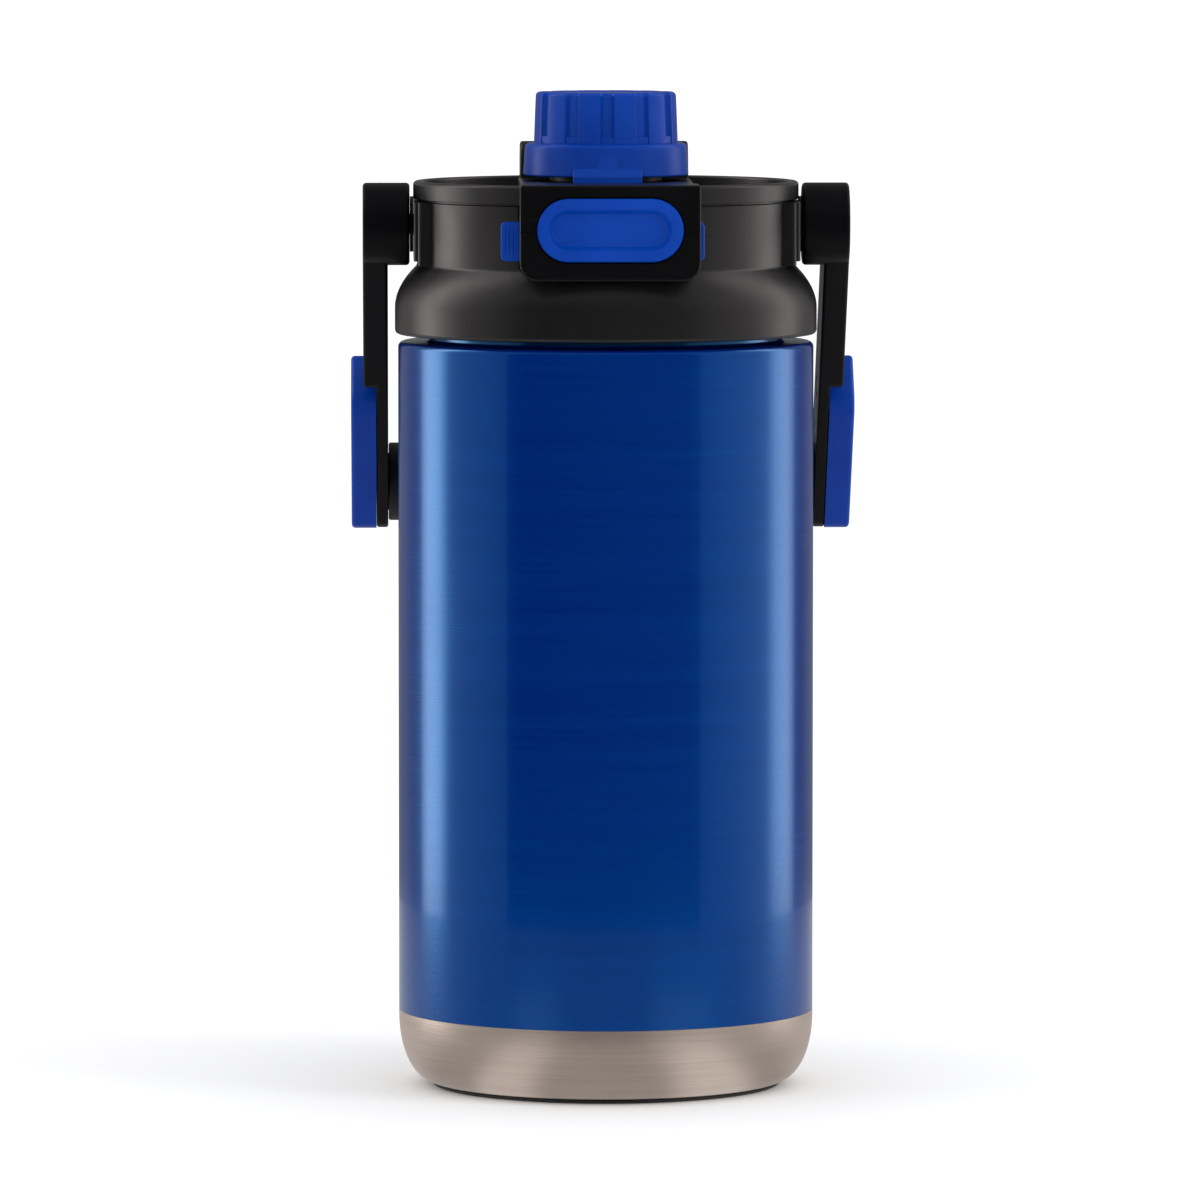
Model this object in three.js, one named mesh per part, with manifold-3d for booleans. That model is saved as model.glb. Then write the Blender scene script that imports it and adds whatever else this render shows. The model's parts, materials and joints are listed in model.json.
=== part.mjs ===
// Half-gallon double-wall steel water jug: screw lid, flip cap, push-button latch and bail handle.
// Millimetres, +Z up. The origin is the centre of the face it stands on; the latch button faces -Y.
import * as THREE from "three";
import { mergeVertices } from "three/addons/utils/BufferGeometryUtils.js";
import Module from "manifold-3d";

const wasm = await Module();
wasm.setup();

// Clearances between neighbouring pieces
const GAP = 0.3;
const SLIDE = 0.4;

// Facets round a full turn: large shells, medium rounds, small rounds
const FACETS = { large: 32, medium: 20, small: 12 };

// How far a cutter reaches past the surface it opens
const OVERCUT = 1;

const vessel = {
  radius: 59,
  top: 212,
  shoulderRadius: 1.5,
  wall: 0.8,
  bandTop: 21.6,
  footInset: 8.6,
  footHeight: 1.3,
  cornerRise: 18.7,
  padRecessHeight: 2,
  padRim: 2.4,
  padEdge: 0.4,
  vacuumGap: 2.6,
  linerWall: 0.6,
  linerBase: 8,
  linerCorner: 8,
  neckInset: 8.6,
  neckRise: 12,
  lipThickness: 1.7,
  neckLength: 21,
  getterRadius: 9,
};

const thread = { pitch: 5, turns: 1.5, height: 1.4, width: 1.6, clearance: 0.7, start: 6.3 };

const lid = {
  bottomGap: 2.1,
  skirtRadius: vessel.radius + 0.9,
  skirtHeight: 7.5,
  chamfer: 1.2,
  shoulderRise: 11.7,
  shoulderBow: 11.7,
  neckRadius: vessel.radius - 5.4,
  neckTop: vessel.top + 39.8,
  wall: 2.4,
  skirtWall: 2.7,
  rimOverhang: 1.1,
  rimHeight: 5.4,
  rimWall: 2.7,
  rimRound: 1,
  rimChamfer: 0.5,
  floorThickness: 2,
  floorCove: 1.6,
  gasketHeight: 1.9,
  gasketOverlap: 0.4,
  flangeThickness: 2.3,
  plugWall: 2.2,
  plugDepth: 29.5,
  plugFloor: 2.5,
};

const spout = {
  outerRadius: 15.9,
  wall: 2.4,
  top: vessel.top + 59,
  beadHeight: 3,
  bead: 0.5,
  flange: 3.1,
  flangeThickness: 2.5,
};

const latch = {
  halfWidth: 25.2,
  front: -(lid.neckRadius + 6.4),
  depth: 16,
  bottom: vessel.top + 19.2,
  top: vessel.top + 46,
  cornerRadius: 5,
  edge: 1,
  wall: 2.2,
  bridgeInset: 0.7,
  bridgeSetback: 4,
  buttonMargin: 4.8,
  buttonHeight: 17.7,
  buttonZ: vessel.top + 33.5,
  buttonProud: 0.9,
  buttonDepth: 4.9,
  buttonEdge: 0.8,
  dishMargin: 3.9,
  dishDepth: 0.8,
  travel: 2.4,
  catchMargin: 2.75,
  catchThickness: 2,
  catchBar: 2,
  springRadius: 1.9,
  springWire: 0.5,
  springLength: 7,
  springInset: 2.9,
  springTurns: 5,
};

const lock = {
  bottom: vessel.top + 24.7,
  height: 11,
  setback: 6.8,
  thickness: 3.9,
  leftReach: 5.2,
  rightReach: 1.2,
  cornerRadius: 1.4,
  edge: 0.6,
  grooveWidth: 0.6,
  grooveDepth: 0.5,
  grooveMargin: 1.5,
  grooves: [1, 2.6, 4.2],
};

const cap = {
  hingeZ: vessel.top + 51,
  hingeSetback: 3.5,
  bottomClearance: 1.5,
  skirtRadius: spout.outerRadius + 7.6,
  skirtDraft: 0.5,
  skirtTop: vessel.top + 56.3,
  skirtEdge: 0.4,
  knobStep: 3.1,
  knobDraft: 0.4,
  top: vessel.top + 70.7,
  round: 1.2,
  innerRadius: spout.outerRadius + 2.6,
  flutes: 12,
  fluteRadius: 2.6,
  fluteDepth: 1.2,
  fluteStart: 0.6,
  knuckleRadius: 5,
  knuckleHalfWidth: 11.6,
  pinRadius: 1.5,
  pinInset: 0.6,
  earInset: 1.1,
  earEdge: 0.6,
  tongueInset: 10.65,
  tongueReach: 1.1,
  tongueThickness: 2.4,
  tongueNose: 2,
  tongueNoseHeight: 2,
  tongueDrop: 2,
  tongueLead: 0.8,
  sealDepth: 3,
  sealThickness: 1.7,
  sealTaper: 1.4,
  sealFit: 0.5,
  sealRim: 1,
};

const pivot = {
  z: vessel.top + 33.2,
  padReach: 1,
  padHalfWidth: 18.5,
  padBottom: vessel.top + 22,
  padDepth: 15,
  padRound: 2.5,
  washerRadius: 7.9,
  washerThickness: 0.5,
  shaftRadius: 2.9,
  headRadius: 6.5,
  headThickness: 2.1,
  headEdge: 0.6,
  socketRadius: 2,
  socketDepth: 1.4,
  nutRadius: 4.4,
  nutThickness: 4,
  capThickness: 1.7,
  capEdge: 0.5,
};

const handle = {
  bossRadius: 11.7,
  bossDepth: 13.3,
  bossEdge: 1,
  strapThickness: 7.1,
  strapHalfWidth: 10.5,
  strapCorner: 3,
  strapEdge: 0.8,
  stepAt: 57.5,
  paddleThickness: 3.4,
  paddleCorner: 6,
  paddleEdge: 0.6,
  length: 117.5,
  gripFromEnd: 12,
  gripHalfLength: 12.2,
  gripHalfWidth: 10.5,
  gripEdge: 1,
  restClearance: 12.4,
  coreHalfLength: 7.5,
  coreHalfWidth: 6,
  coreCorner: 3,
};

const hook = {
  start: handle.stepAt + 0.7,
  end: handle.length - 0.3,
  thickness: 7,
  cornerRadius: 5,
  topCorner: 2,
  heelRadius: 12,
  throatRound: 1.5,
  edge: 1,
  throatStart: handle.length - 14.5,
  throatWidth: 8,
  fingerWidth: 9.5,
  tipAt: handle.length - 34.5,
  screwAt: [handle.stepAt + 8.5, handle.length - 33.5],
  screwRadius: 1.5,
  screwHeadRadius: 3,
  screwHeadThickness: 1.4,
  screwHeadEdge: 0.4,
  screwLength: 5,
};

// Places that follow from the sizes above
const shellInner = vessel.radius - vessel.wall;
const footRadius = vessel.radius - vessel.footInset;
const padRadius = footRadius - GAP - vessel.padEdge - GAP;
const padRecess = padRadius - vessel.padRim;
const neckRadius = vessel.radius - vessel.neckInset;
const linerOuter = shellInner - vessel.vacuumGap;
const linerInner = linerOuter - vessel.linerWall;
const neckInner = neckRadius - vessel.wall - GAP - vessel.linerWall;
const lipTop = vessel.top + vessel.neckRise + GAP + vessel.lipThickness;
const neckFoot = lipTop - vessel.neckLength;
const gasketBottom = lipTop + GAP;
const flangeBottom = gasketBottom + lid.gasketHeight + GAP;
const flangeTop = flangeBottom + lid.flangeThickness;
const lidBottom = vessel.top + lid.bottomGap;
const skirtTop = lidBottom + lid.skirtHeight;
const shoulderTop = skirtTop + lid.shoulderRise;
const lidInner = lid.neckRadius - lid.wall;
const rimBottom = lid.neckTop + GAP;
const rimTop = rimBottom + lid.rimHeight;
const rimRadius = lid.neckRadius + lid.rimOverhang;
const dishRadius = rimRadius - lid.rimWall;
const floorRadius = lidInner - GAP;
const floorTop = rimBottom - 0.1;
const floorBottom = floorTop - lid.floorThickness;
const plugRadius = neckInner - thread.height - thread.clearance;
const plugBottom = flangeBottom - lid.plugDepth;
const spoutBore = spout.outerRadius - spout.wall;
const housingBack = latch.front + latch.depth;
const bridgeHalf = latch.halfWidth - latch.bridgeInset;
const bridgeFront = latch.front + latch.bridgeSetback;
const bridgeTop = rimTop + 0.1;
const buttonWidth = 2 * (latch.halfWidth - latch.buttonMargin);
const buttonFront = latch.front - latch.buttonProud;
const buttonBack = buttonFront + latch.buttonDepth;
const lockFront = latch.front + lock.setback;
const catchBottom = floorBottom;
const catchTop = catchBottom + latch.catchThickness;
const hingeY = cap.skirtRadius + cap.hingeSetback;
const capBottom = rimTop + cap.bottomClearance;
const knobRadius = cap.skirtRadius - cap.knobStep;
const earOuter = latch.halfWidth - cap.earInset;
const tongueHalf = buttonWidth / 2 - cap.tongueInset;
const tongueFront = -(cap.skirtRadius + cap.tongueReach);
const tongueBack = tongueFront + cap.tongueThickness;
const catchHalf = tongueHalf + latch.catchMargin;
const barFront = tongueBack + 2 * GAP;
const barBack = barFront + latch.catchBar;
const sealBottom = spout.top + GAP;
const sealTop = sealBottom + cap.sealThickness;
const padX = lid.neckRadius + pivot.padReach;
const bossInner = padX + pivot.washerThickness + 2 * GAP;
const handleOuter = bossInner + handle.bossDepth;
const boreRadius = pivot.shaftRadius + GAP;
const headInner = handleOuter - GAP / 2 - pivot.capThickness - GAP - pivot.headThickness;
const strapInner = handleOuter - handle.strapThickness;
const hookInner = strapInner + handle.paddleThickness + GAP;
const gripAt = handle.length - handle.gripFromEnd;
// The grip rests just behind the body
const lean = Math.asin((vessel.radius + handle.restClearance) / gripAt);

const finishes = {
  bodyPaint: { color: 0x1d3fa0, roughness: 0.22, metalness: 0.25 },
  steel: { color: 0xb7afa6, roughness: 0.3, metalness: 1 },
  charcoal: { color: 0x2c2a2c, roughness: 0.5, metalness: 0 },
  black: { color: 0x161517, roughness: 0.42, metalness: 0 },
  bluePlastic: { color: 0x1c3f9c, roughness: 0.38, metalness: 0 },
  rubber: { color: 0x1b1b1d, roughness: 0.8, metalness: 0 },
  silicone: { color: 0xd8d6d0, roughness: 0.6, metalness: 0 },
  foam: { color: 0xe6e1d4, roughness: 0.95, metalness: 0 },
};

/** Axes for an extrusion that runs along +X, with its outline in (y, z). */
const ALONG_X = new THREE.Matrix4().makeBasis(
  new THREE.Vector3(0, 1, 0),
  new THREE.Vector3(0, 0, 1),
  new THREE.Vector3(1, 0, 0),
);
/** Axes for an extrusion that runs along -Y, with its outline in (x, z). */
const ALONG_FRONT = new THREE.Matrix4().makeBasis(
  new THREE.Vector3(1, 0, 0),
  new THREE.Vector3(0, 0, 1),
  new THREE.Vector3(0, -1, 0),
);
const UPRIGHT = new THREE.Matrix4().makeRotationX(Math.PI / 2);

/** Turns a closed geometry into a solid with its faces pointing out. */
function toSolid(geometry) {
  const bare = new THREE.BufferGeometry();
  bare.setAttribute("position", geometry.getAttribute("position").clone());
  bare.setIndex(geometry.index ? geometry.index.clone() : null);
  const merged = mergeVertices(bare, 1e-4);
  const index = merged.index.array;
  const kept = [];
  for (let i = 0; i < index.length; i += 3) {
    const [a, b, c] = [index[i], index[i + 1], index[i + 2]];
    if (a !== b && b !== c && c !== a) kept.push(a, b, c);
  }
  const vertProperties = new Float32Array(merged.getAttribute("position").array);
  const make = (triVerts) =>
    new wasm.Manifold(new wasm.Mesh({ numProp: 3, vertProperties, triVerts: new Uint32Array(triVerts) }));
  const solid = make(kept);
  return solid.volume() > 0 ? solid : make(kept.reverse());
}

/** Wraps a solid in a named mesh with its own material. */
function piece(name, solid, finish) {
  const { numProp, vertProperties, triVerts } = solid.getMesh();
  const geometry = new THREE.BufferGeometry();
  geometry.setAttribute("position", new THREE.BufferAttribute(new Float32Array(vertProperties), numProp));
  geometry.setIndex(new THREE.BufferAttribute(new Uint32Array(triVerts), 1));
  geometry.computeVertexNormals();
  const mesh = new THREE.Mesh(geometry, new THREE.MeshStandardMaterial(finishes[finish]));
  mesh.name = name;
  return mesh;
}

/** Revolves an outline of [radius, height] points about +Z. An outline off the axis is closed on itself. */
function turned(outline, facets) {
  const onAxis = outline[0][0] === 0 && outline.at(-1)[0] === 0;
  const points = (onAxis ? outline : [...outline, outline[0]]).map(([r, z]) => new THREE.Vector2(r, z));
  return toSolid(new THREE.LatheGeometry(points, facets).applyMatrix4(UPRIGHT));
}

/** A cylinder along +Z, from one height to another. */
function drum(radius, from, to, facets = FACETS.small) {
  return turned([[0, from], [radius, from], [radius, to], [0, to]], facets);
}

/** Turns a solid made along +Z so that it lies along +X. */
function alongX(solid) {
  return solid.rotate([0, 90, 0]);
}

/** An elliptical corner of [radius, height] points between two angles in degrees. */
function corner(r, z, radiusR, radiusZ, from, to, steps) {
  return Array.from({ length: steps + 1 }, (_, i) => {
    const angle = THREE.MathUtils.degToRad(from + ((to - from) * i) / steps);
    return [r + radiusR * Math.cos(angle), z + radiusZ * Math.sin(angle)];
  });
}

/** Extrudes a shape to a given length, with an optional edge round inside its outline. */
function extruded(shape, length, edge = 0, curveSegments = 4) {
  const geometry = new THREE.ExtrudeGeometry(shape, {
    depth: length - 2 * edge,
    bevelEnabled: edge > 0,
    bevelThickness: edge,
    bevelSize: edge,
    bevelOffset: -edge,
    bevelSegments: 1,
    curveSegments,
  });
  return geometry.translate(0, 0, edge);
}

/** A rounded rectangle centred on (x, y). */
function roundedRect(x, y, width, height, radius) {
  const [w, h] = [width / 2 - radius, height / 2 - radius];
  const shape = new THREE.Shape();
  shape.absarc(x + w, y - h, radius, -Math.PI / 2, 0, false);
  shape.absarc(x + w, y + h, radius, 0, Math.PI / 2, false);
  shape.absarc(x - w, y + h, radius, Math.PI / 2, Math.PI, false);
  shape.absarc(x - w, y - h, radius, Math.PI, Math.PI * 1.5, false);
  shape.closePath();
  return shape;
}

/** A stadium centred on (0, y): straight along the middle with round ends. */
function stadium(y, width, height) {
  const [half, radius] = [(width - height) / 2, height / 2];
  const shape = new THREE.Shape();
  shape.absarc(half, y, radius, -Math.PI / 2, Math.PI / 2, false);
  shape.absarc(-half, y, radius, Math.PI / 2, Math.PI * 1.5, false);
  shape.closePath();
  return shape;
}

/** A box between two corners. */
function block([x0, y0, z0], [x1, y1, z1]) {
  const geometry = new THREE.BoxGeometry(x1 - x0, y1 - y0, z1 - z0);
  return toSolid(geometry.translate((x0 + x1) / 2, (y0 + y1) / 2, (z0 + z1) / 2));
}

/** A shape in (x, z) as a plate between two depths in y. */
function frontPlate(shape, front, back, edge = 0, curveSegments = 4) {
  const geometry = extruded(shape, back - front, edge, curveSegments);
  return toSolid(geometry.applyMatrix4(ALONG_FRONT).translate(0, back, 0));
}

/** A shape in (y, z) as a plate between two places in x, on either side of the middle. */
function sidePlate(shape, side, inner, outer, edge = 0, curveSegments = 4) {
  const geometry = extruded(shape, outer - inner, edge, curveSegments).applyMatrix4(ALONG_X);
  return toSolid(geometry.translate(side > 0 ? inner : -outer, 0, 0));
}

/** A turned piece along X, given by [radius, x] points for the +X side and mirrored for the other. */
function sideTurned(outline, side, facets = FACETS.small) {
  const solid = alongX(turned(outline, facets));
  return side > 0 ? solid : solid.mirror([1, 0, 0]);
}

/** A helical thread ridge that fades in and out at its ends. */
function ridge(rootRadius, tipRadius, start) {
  const steps = Math.round(thread.turns * FACETS.large);
  const geometry = new THREE.BoxGeometry(1, 1, 1, steps, 1, 1);
  const position = geometry.getAttribute("position");
  for (let i = 0; i < position.count; i += 1) {
    const along = position.getX(i) + 0.5;
    const out = position.getY(i) + 0.5;
    const fade = Math.min(1, 0.15 + 12 * Math.min(along, 1 - along));
    const radius = rootRadius + (tipRadius - rootRadius) * out * fade;
    const angle = along * thread.turns * 2 * Math.PI;
    const height = start + thread.pitch * thread.turns * along;
    const across = position.getZ(i) * thread.width * (1 - 0.4 * out);
    position.setXYZ(i, radius * Math.cos(angle), radius * Math.sin(angle), height + across);
  }
  return toSolid(geometry);
}

/** The painted outer wall with its flat shoulder and the steel neck. */
function outerShell() {
  const { radius, top, shoulderRadius: edge, wall, neckRise, bandTop } = vessel;
  const inner = edge - wall;
  return turned(
    [
      [shellInner, bandTop + GAP / 2],
      [radius, bandTop + GAP / 2],
      ...corner(radius - edge, top - edge, edge, edge, 0, 90, 3),
      [neckRadius, top],
      [neckRadius, top + neckRise],
      [neckRadius - wall, top + neckRise],
      [neckRadius - wall, top - wall],
      ...corner(shellInner - inner, top - wall - inner, inner, inner, 90, 0, 2),
    ],
    FACETS.large,
  );
}

/** The bare steel base: a deep cup with an oval corner and a recess for the foot pad. */
function baseCup() {
  const { radius, footHeight, cornerRise, bandTop, wall, padRecessHeight } = vessel;
  const turnIn = radius - footRadius + wall;
  const cornerZ = footHeight + cornerRise;
  const recessTop = footHeight + padRecessHeight;
  return turned(
    [
      [0, recessTop],
      [padRecess, recessTop],
      [padRecess, footHeight],
      [footRadius, footHeight],
      ...corner(radius - turnIn, cornerZ, turnIn, cornerRise, -80, 0, 5),
      [radius, bandTop - GAP / 2],
      [shellInner, bandTop - GAP / 2],
      ...corner(radius - turnIn, cornerZ, turnIn - wall, cornerRise - wall, 0, -72, 4),
      [padRecess + wall, recessTop + wall],
      [0, recessTop + wall],
    ],
    FACETS.large,
  );
}

/** The inner wall that holds the drink, rolled over the neck at its lip and threaded inside. */
function innerLiner() {
  const { linerBase, linerWall, linerCorner, top, wall, neckRise } = vessel;
  const neckOuter = neckInner + linerWall;
  const slope = linerOuter - neckOuter;
  const inside = linerCorner - linerWall;
  const cup = turned(
    [
      [0, linerBase],
      ...corner(linerOuter - linerCorner, linerBase + linerCorner, linerCorner, linerCorner, -90, 0, 3),
      [linerOuter, neckFoot - slope],
      [neckOuter, neckFoot],
      [neckOuter, top + neckRise + GAP],
      [neckRadius, top + neckRise + GAP],
      [neckRadius, lipTop],
      [neckInner, lipTop],
      [neckInner, neckFoot],
      [linerInner, neckFoot - slope],
      ...corner(linerInner - inside, linerBase + linerCorner, inside, inside, 0, -90, 3),
      [0, linerBase + linerWall],
    ],
    FACETS.large,
  );
  return cup.add(ridge(neckInner + wall / 3, neckInner - thread.height, neckFoot + thread.start));
}

/** The rubber pad the jug stands on, let into the base. */
function footPad() {
  const { footHeight, padRecessHeight, padEdge } = vessel;
  const ledge = footHeight - GAP;
  const top = footHeight + padRecessHeight - GAP;
  const fit = padRecess - GAP;
  const side = [[padRadius - padEdge, 0], [padRadius, padEdge], [padRadius, ledge], [fit, ledge], [fit, top]];
  return turned([[0, 0], ...side, [0, top]], FACETS.large);
}

/** The getter that keeps the vacuum, in the space under the liner. */
function vacuumGetter() {
  const floor = vessel.footHeight + vessel.padRecessHeight + vessel.wall;
  return drum(vessel.getterRadius, floor + GAP, vessel.linerBase - GAP);
}

/** The flat ring seal between the lip and the lid. */
function lidGasket() {
  const [inner, outer] = [neckInner - lid.gasketOverlap, neckRadius];
  const [bottom, top] = [gasketBottom, gasketBottom + lid.gasketHeight];
  return turned([[inner, bottom], [outer, bottom], [outer, top], [inner, top]], FACETS.large);
}

/** The outside of the latch housing, grown by a clearance for the pocket it sits in. */
function latchEnvelope(grow) {
  const { halfWidth, front, bottom, top, depth } = latch;
  const half = halfWidth + grow;
  return block([-half, front - depth, bottom - grow], [half, housingBack + grow, top + depth]);
}

/** The lid's outer collar: skirt, bowed shoulder, straight neck and the two flat pivot pads. */
function lidCollar() {
  const { skirtRadius, chamfer, neckRadius: outer, neckTop, shoulderRise, shoulderBow, skirtWall } = lid;
  const steps = 6;
  const shoulder = Array.from({ length: steps + 1 }, (_, i) => {
    const rise = (shoulderRise * i) / steps;
    return [skirtRadius - rise ** 2 / (2 * shoulderBow), skirtTop + rise];
  });
  const slope = shoulder.at(-1)[0] - outer;
  const outline = turned(
    [
      [0, lidBottom],
      [skirtRadius - chamfer, lidBottom],
      [skirtRadius, lidBottom + chamfer],
      ...shoulder,
      [outer, shoulderTop + slope],
      [outer, neckTop],
      [0, neckTop],
    ],
    FACETS.large,
  );
  const hollow = turned(
    [
      [0, lidBottom - OVERCUT],
      [skirtRadius - skirtWall, lidBottom - OVERCUT],
      [skirtRadius - skirtWall, skirtTop],
      [lidInner, shoulderTop - lid.wall],
      [lidInner, neckTop + OVERCUT],
      [0, neckTop + OVERCUT],
    ],
    FACETS.large,
  );
  const height = neckTop - pivot.padBottom;
  const pads = [-1, 1].map((side) => {
    const centre = side * (padX - pivot.padDepth / 2);
    const shape = roundedRect(centre, 0, pivot.padDepth, 2 * pivot.padHalfWidth, pivot.padRound);
    return toSolid(extruded(shape, height, 0, 3).translate(0, 0, pivot.padBottom));
  });
  const bore = alongX(drum(boreRadius, -2 * skirtRadius, 2 * skirtRadius)).translate([0, 0, pivot.z]);
  return outline.add(pads[0]).add(pads[1]).subtract(hollow).subtract(latchEnvelope(GAP)).subtract(bore);
}

/** The top of the lid: rim, sunk floor, the bridge across it and the ears of the cap's hinge. */
function lidDeck() {
  const { rimRound, rimChamfer, floorCove } = lid;
  const dish = turned(
    [
      [0, floorBottom],
      [floorRadius, floorBottom],
      [floorRadius, rimBottom],
      [rimRadius, rimBottom],
      ...corner(rimRadius - rimRound, rimTop - rimRound, rimRound, rimRound, 0, 90, 2),
      [dishRadius + rimChamfer, rimTop],
      [dishRadius, rimTop - rimChamfer],
      [dishRadius, floorTop + floorCove],
      [dishRadius - floorCove, floorTop],
      [0, floorTop],
    ],
    FACETS.large,
  );
  const bridgeBack = hingeY + cap.knuckleRadius + cap.earEdge;
  const bridge = block([-bridgeHalf, bridgeFront, floorTop - OVERCUT], [bridgeHalf, bridgeBack, bridgeTop]);
  const earInner = cap.knuckleHalfWidth + SLIDE;
  let deck = dish.add(bridge);
  for (const side of [-1, 1]) {
    const ear = new THREE.Shape();
    ear.absarc(hingeY, cap.hingeZ, cap.knuckleRadius, 0, Math.PI, false);
    ear.lineTo(hingeY - cap.knuckleRadius, rimTop - OVERCUT);
    ear.lineTo(hingeY + cap.knuckleRadius, rimTop - OVERCUT);
    ear.closePath();
    deck = deck.add(sidePlate(ear, side, earInner, earOuter, cap.earEdge, 8));
  }
  const pinBore = alongX(drum(cap.pinRadius + GAP, -earOuter - OVERCUT, earOuter + OVERCUT));
  const slotHalf = tongueHalf + SLIDE;
  const [slotFront, slotBack] = [tongueFront - latch.travel - SLIDE, tongueBack + latch.travel];
  const wellHalf = catchHalf + SLIDE;
  const wellBack = barBack + latch.travel + SLIDE;
  return deck
    .subtract(pinBore.translate([0, hingeY, cap.hingeZ]))
    .subtract(latchEnvelope(GAP))
    .subtract(drum(spout.outerRadius + GAP, floorBottom - OVERCUT, cap.top, FACETS.medium))
    .subtract(block([-slotHalf, slotFront, floorBottom - OVERCUT], [slotHalf, slotBack, rimTop + OVERCUT]))
    .subtract(block([-wellHalf, housingBack, floorBottom - OVERCUT], [wellHalf, wellBack, catchTop + SLIDE]));
}

/** The screw-in plug under the lid: flange, threaded wall and floor, open at the top for the foam. */
function lidPlug() {
  const bore = spout.outerRadius + GAP;
  const inside = plugRadius - lid.plugWall;
  const cup = turned(
    [
      [bore, plugBottom],
      [plugRadius, plugBottom],
      [plugRadius, flangeBottom],
      [floorRadius, flangeBottom],
      [floorRadius, flangeTop],
      [inside, flangeTop],
      [inside, plugBottom + lid.plugFloor],
      [bore, plugBottom + lid.plugFloor],
    ],
    FACETS.large,
  );
  const start = neckFoot + thread.start - thread.pitch / 2;
  return cup.add(ridge(plugRadius - GAP, neckInner - thread.clearance / 2, start));
}

/** The insulating foam ring inside the plug. */
function lidFoam() {
  const [inner, outer] = [spout.outerRadius + 2 * GAP, plugRadius - lid.plugWall - GAP];
  const [bottom, top] = [plugBottom + lid.plugFloor + GAP, flangeTop - 3 * GAP];
  return turned([[inner, bottom], [outer, bottom], [outer, top], [inner, top]], FACETS.medium);
}

/** The drinking spout, from the plug's floor up through the deck, with a bead at its mouth. */
function drinkingSpout() {
  const { outerRadius, top, bead, beadHeight, flange, flangeThickness } = spout;
  const [seatBottom, seatTop] = [floorBottom - GAP - flangeThickness, floorBottom - GAP];
  return turned(
    [
      [spoutBore, plugBottom - GAP],
      [outerRadius, plugBottom - GAP],
      [outerRadius, seatBottom],
      [outerRadius + flange, seatBottom],
      [outerRadius + flange, seatTop],
      [outerRadius, seatTop],
      [outerRadius, top - beadHeight],
      [outerRadius + bead, top - beadHeight + bead],
      [outerRadius + bead, top - bead],
      [outerRadius, top],
      [spoutBore, top],
    ],
    FACETS.medium,
  );
}

/** The latch housing on the front of the lid, hollow behind its stadium-shaped button opening. */
function latchHousing() {
  const { halfWidth, front, bottom, top, cornerRadius: corners, wall, buttonZ } = latch;
  const outline = new THREE.Shape();
  outline.moveTo(halfWidth, top);
  outline.lineTo(-halfWidth, top);
  outline.absarc(-halfWidth + corners, bottom + corners, corners, Math.PI, Math.PI * 1.5, false);
  outline.absarc(halfWidth - corners, bottom + corners, corners, Math.PI * 1.5, Math.PI * 2, false);
  outline.closePath();
  const shell = frontPlate(outline, front, housingBack, latch.edge);
  const opening = stadium(buttonZ, buttonWidth + 2 * SLIDE, latch.buttonHeight + 2 * SLIDE);
  const passHalf = catchHalf + SLIDE;
  const [passFront, passBack] = [housingBack - wall - OVERCUT, housingBack + OVERCUT];
  const [slotBottom, slotTop] = [lock.bottom - SLIDE, lock.bottom + lock.height + SLIDE];
  const [slotFront, slotBack] = [lockFront - SLIDE, lockFront + lock.thickness + SLIDE];
  const reach = halfWidth + OVERCUT;
  const inside = halfWidth - wall;
  return shell
    .subtract(block([-inside, front + wall, bottom + wall], [inside, housingBack - wall, top - wall]))
    .subtract(frontPlate(opening, front - OVERCUT, front + wall + OVERCUT, 0, 8))
    .subtract(block([-passHalf, passFront, catchBottom - SLIDE], [passHalf, passBack, catchTop + SLIDE]))
    .subtract(block([-reach, slotFront, slotBottom], [reach, slotBack, slotTop]));
}

/** The push button: a stadium with a raised rim round a shallow dish. */
function pushButton() {
  const { buttonHeight, buttonZ, buttonEdge, dishMargin, dishDepth } = latch;
  const outline = stadium(buttonZ, buttonWidth, buttonHeight);
  const dish = stadium(buttonZ, buttonWidth - 2 * dishMargin, buttonHeight - 2 * dishMargin);
  const body = frontPlate(outline, buttonFront, buttonBack, buttonEdge, 8);
  return body.subtract(frontPlate(dish, buttonFront - OVERCUT, buttonFront + dishDepth, 0, 8));
}

/** The catch plate behind the button, with the window that the cap's tongue hooks into. */
function latchCatch() {
  const windowHalf = tongueHalf + SLIDE;
  const windowFront = tongueFront - 2 * latch.travel;
  const plate = block([-catchHalf, buttonBack + GAP, catchBottom + 0.1], [catchHalf, barBack, catchTop]);
  return plate.subtract(
    block([-windowHalf, windowFront, catchBottom - OVERCUT], [windowHalf, barFront, catchTop + OVERCUT]),
  );
}

/** A coil spring behind the button. */
function buttonSpring(side) {
  const { springRadius, springWire, springLength, springTurns, springInset } = latch;
  class Coil extends THREE.Curve {
    getPoint(t, target = new THREE.Vector3()) {
      const angle = t * springTurns * 2 * Math.PI;
      const along = t * (springLength - 2 * springWire);
      return target.set(springRadius * Math.cos(angle), along, springRadius * Math.sin(angle));
    }
  }
  const wire = new THREE.Shape();
  wire.absarc(0, 0, springWire, 0, 2 * Math.PI, false);
  const geometry = new THREE.ExtrudeGeometry(wire, {
    steps: springTurns * 8,
    extrudePath: new Coil(),
    bevelEnabled: false,
    curveSegments: 3,
  });
  const x = side * (buttonWidth / 2 - springInset);
  const z = (catchBottom + catchTop) / 2;
  return toSolid(geometry.translate(x, buttonBack + GAP + springWire, z));
}

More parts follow.
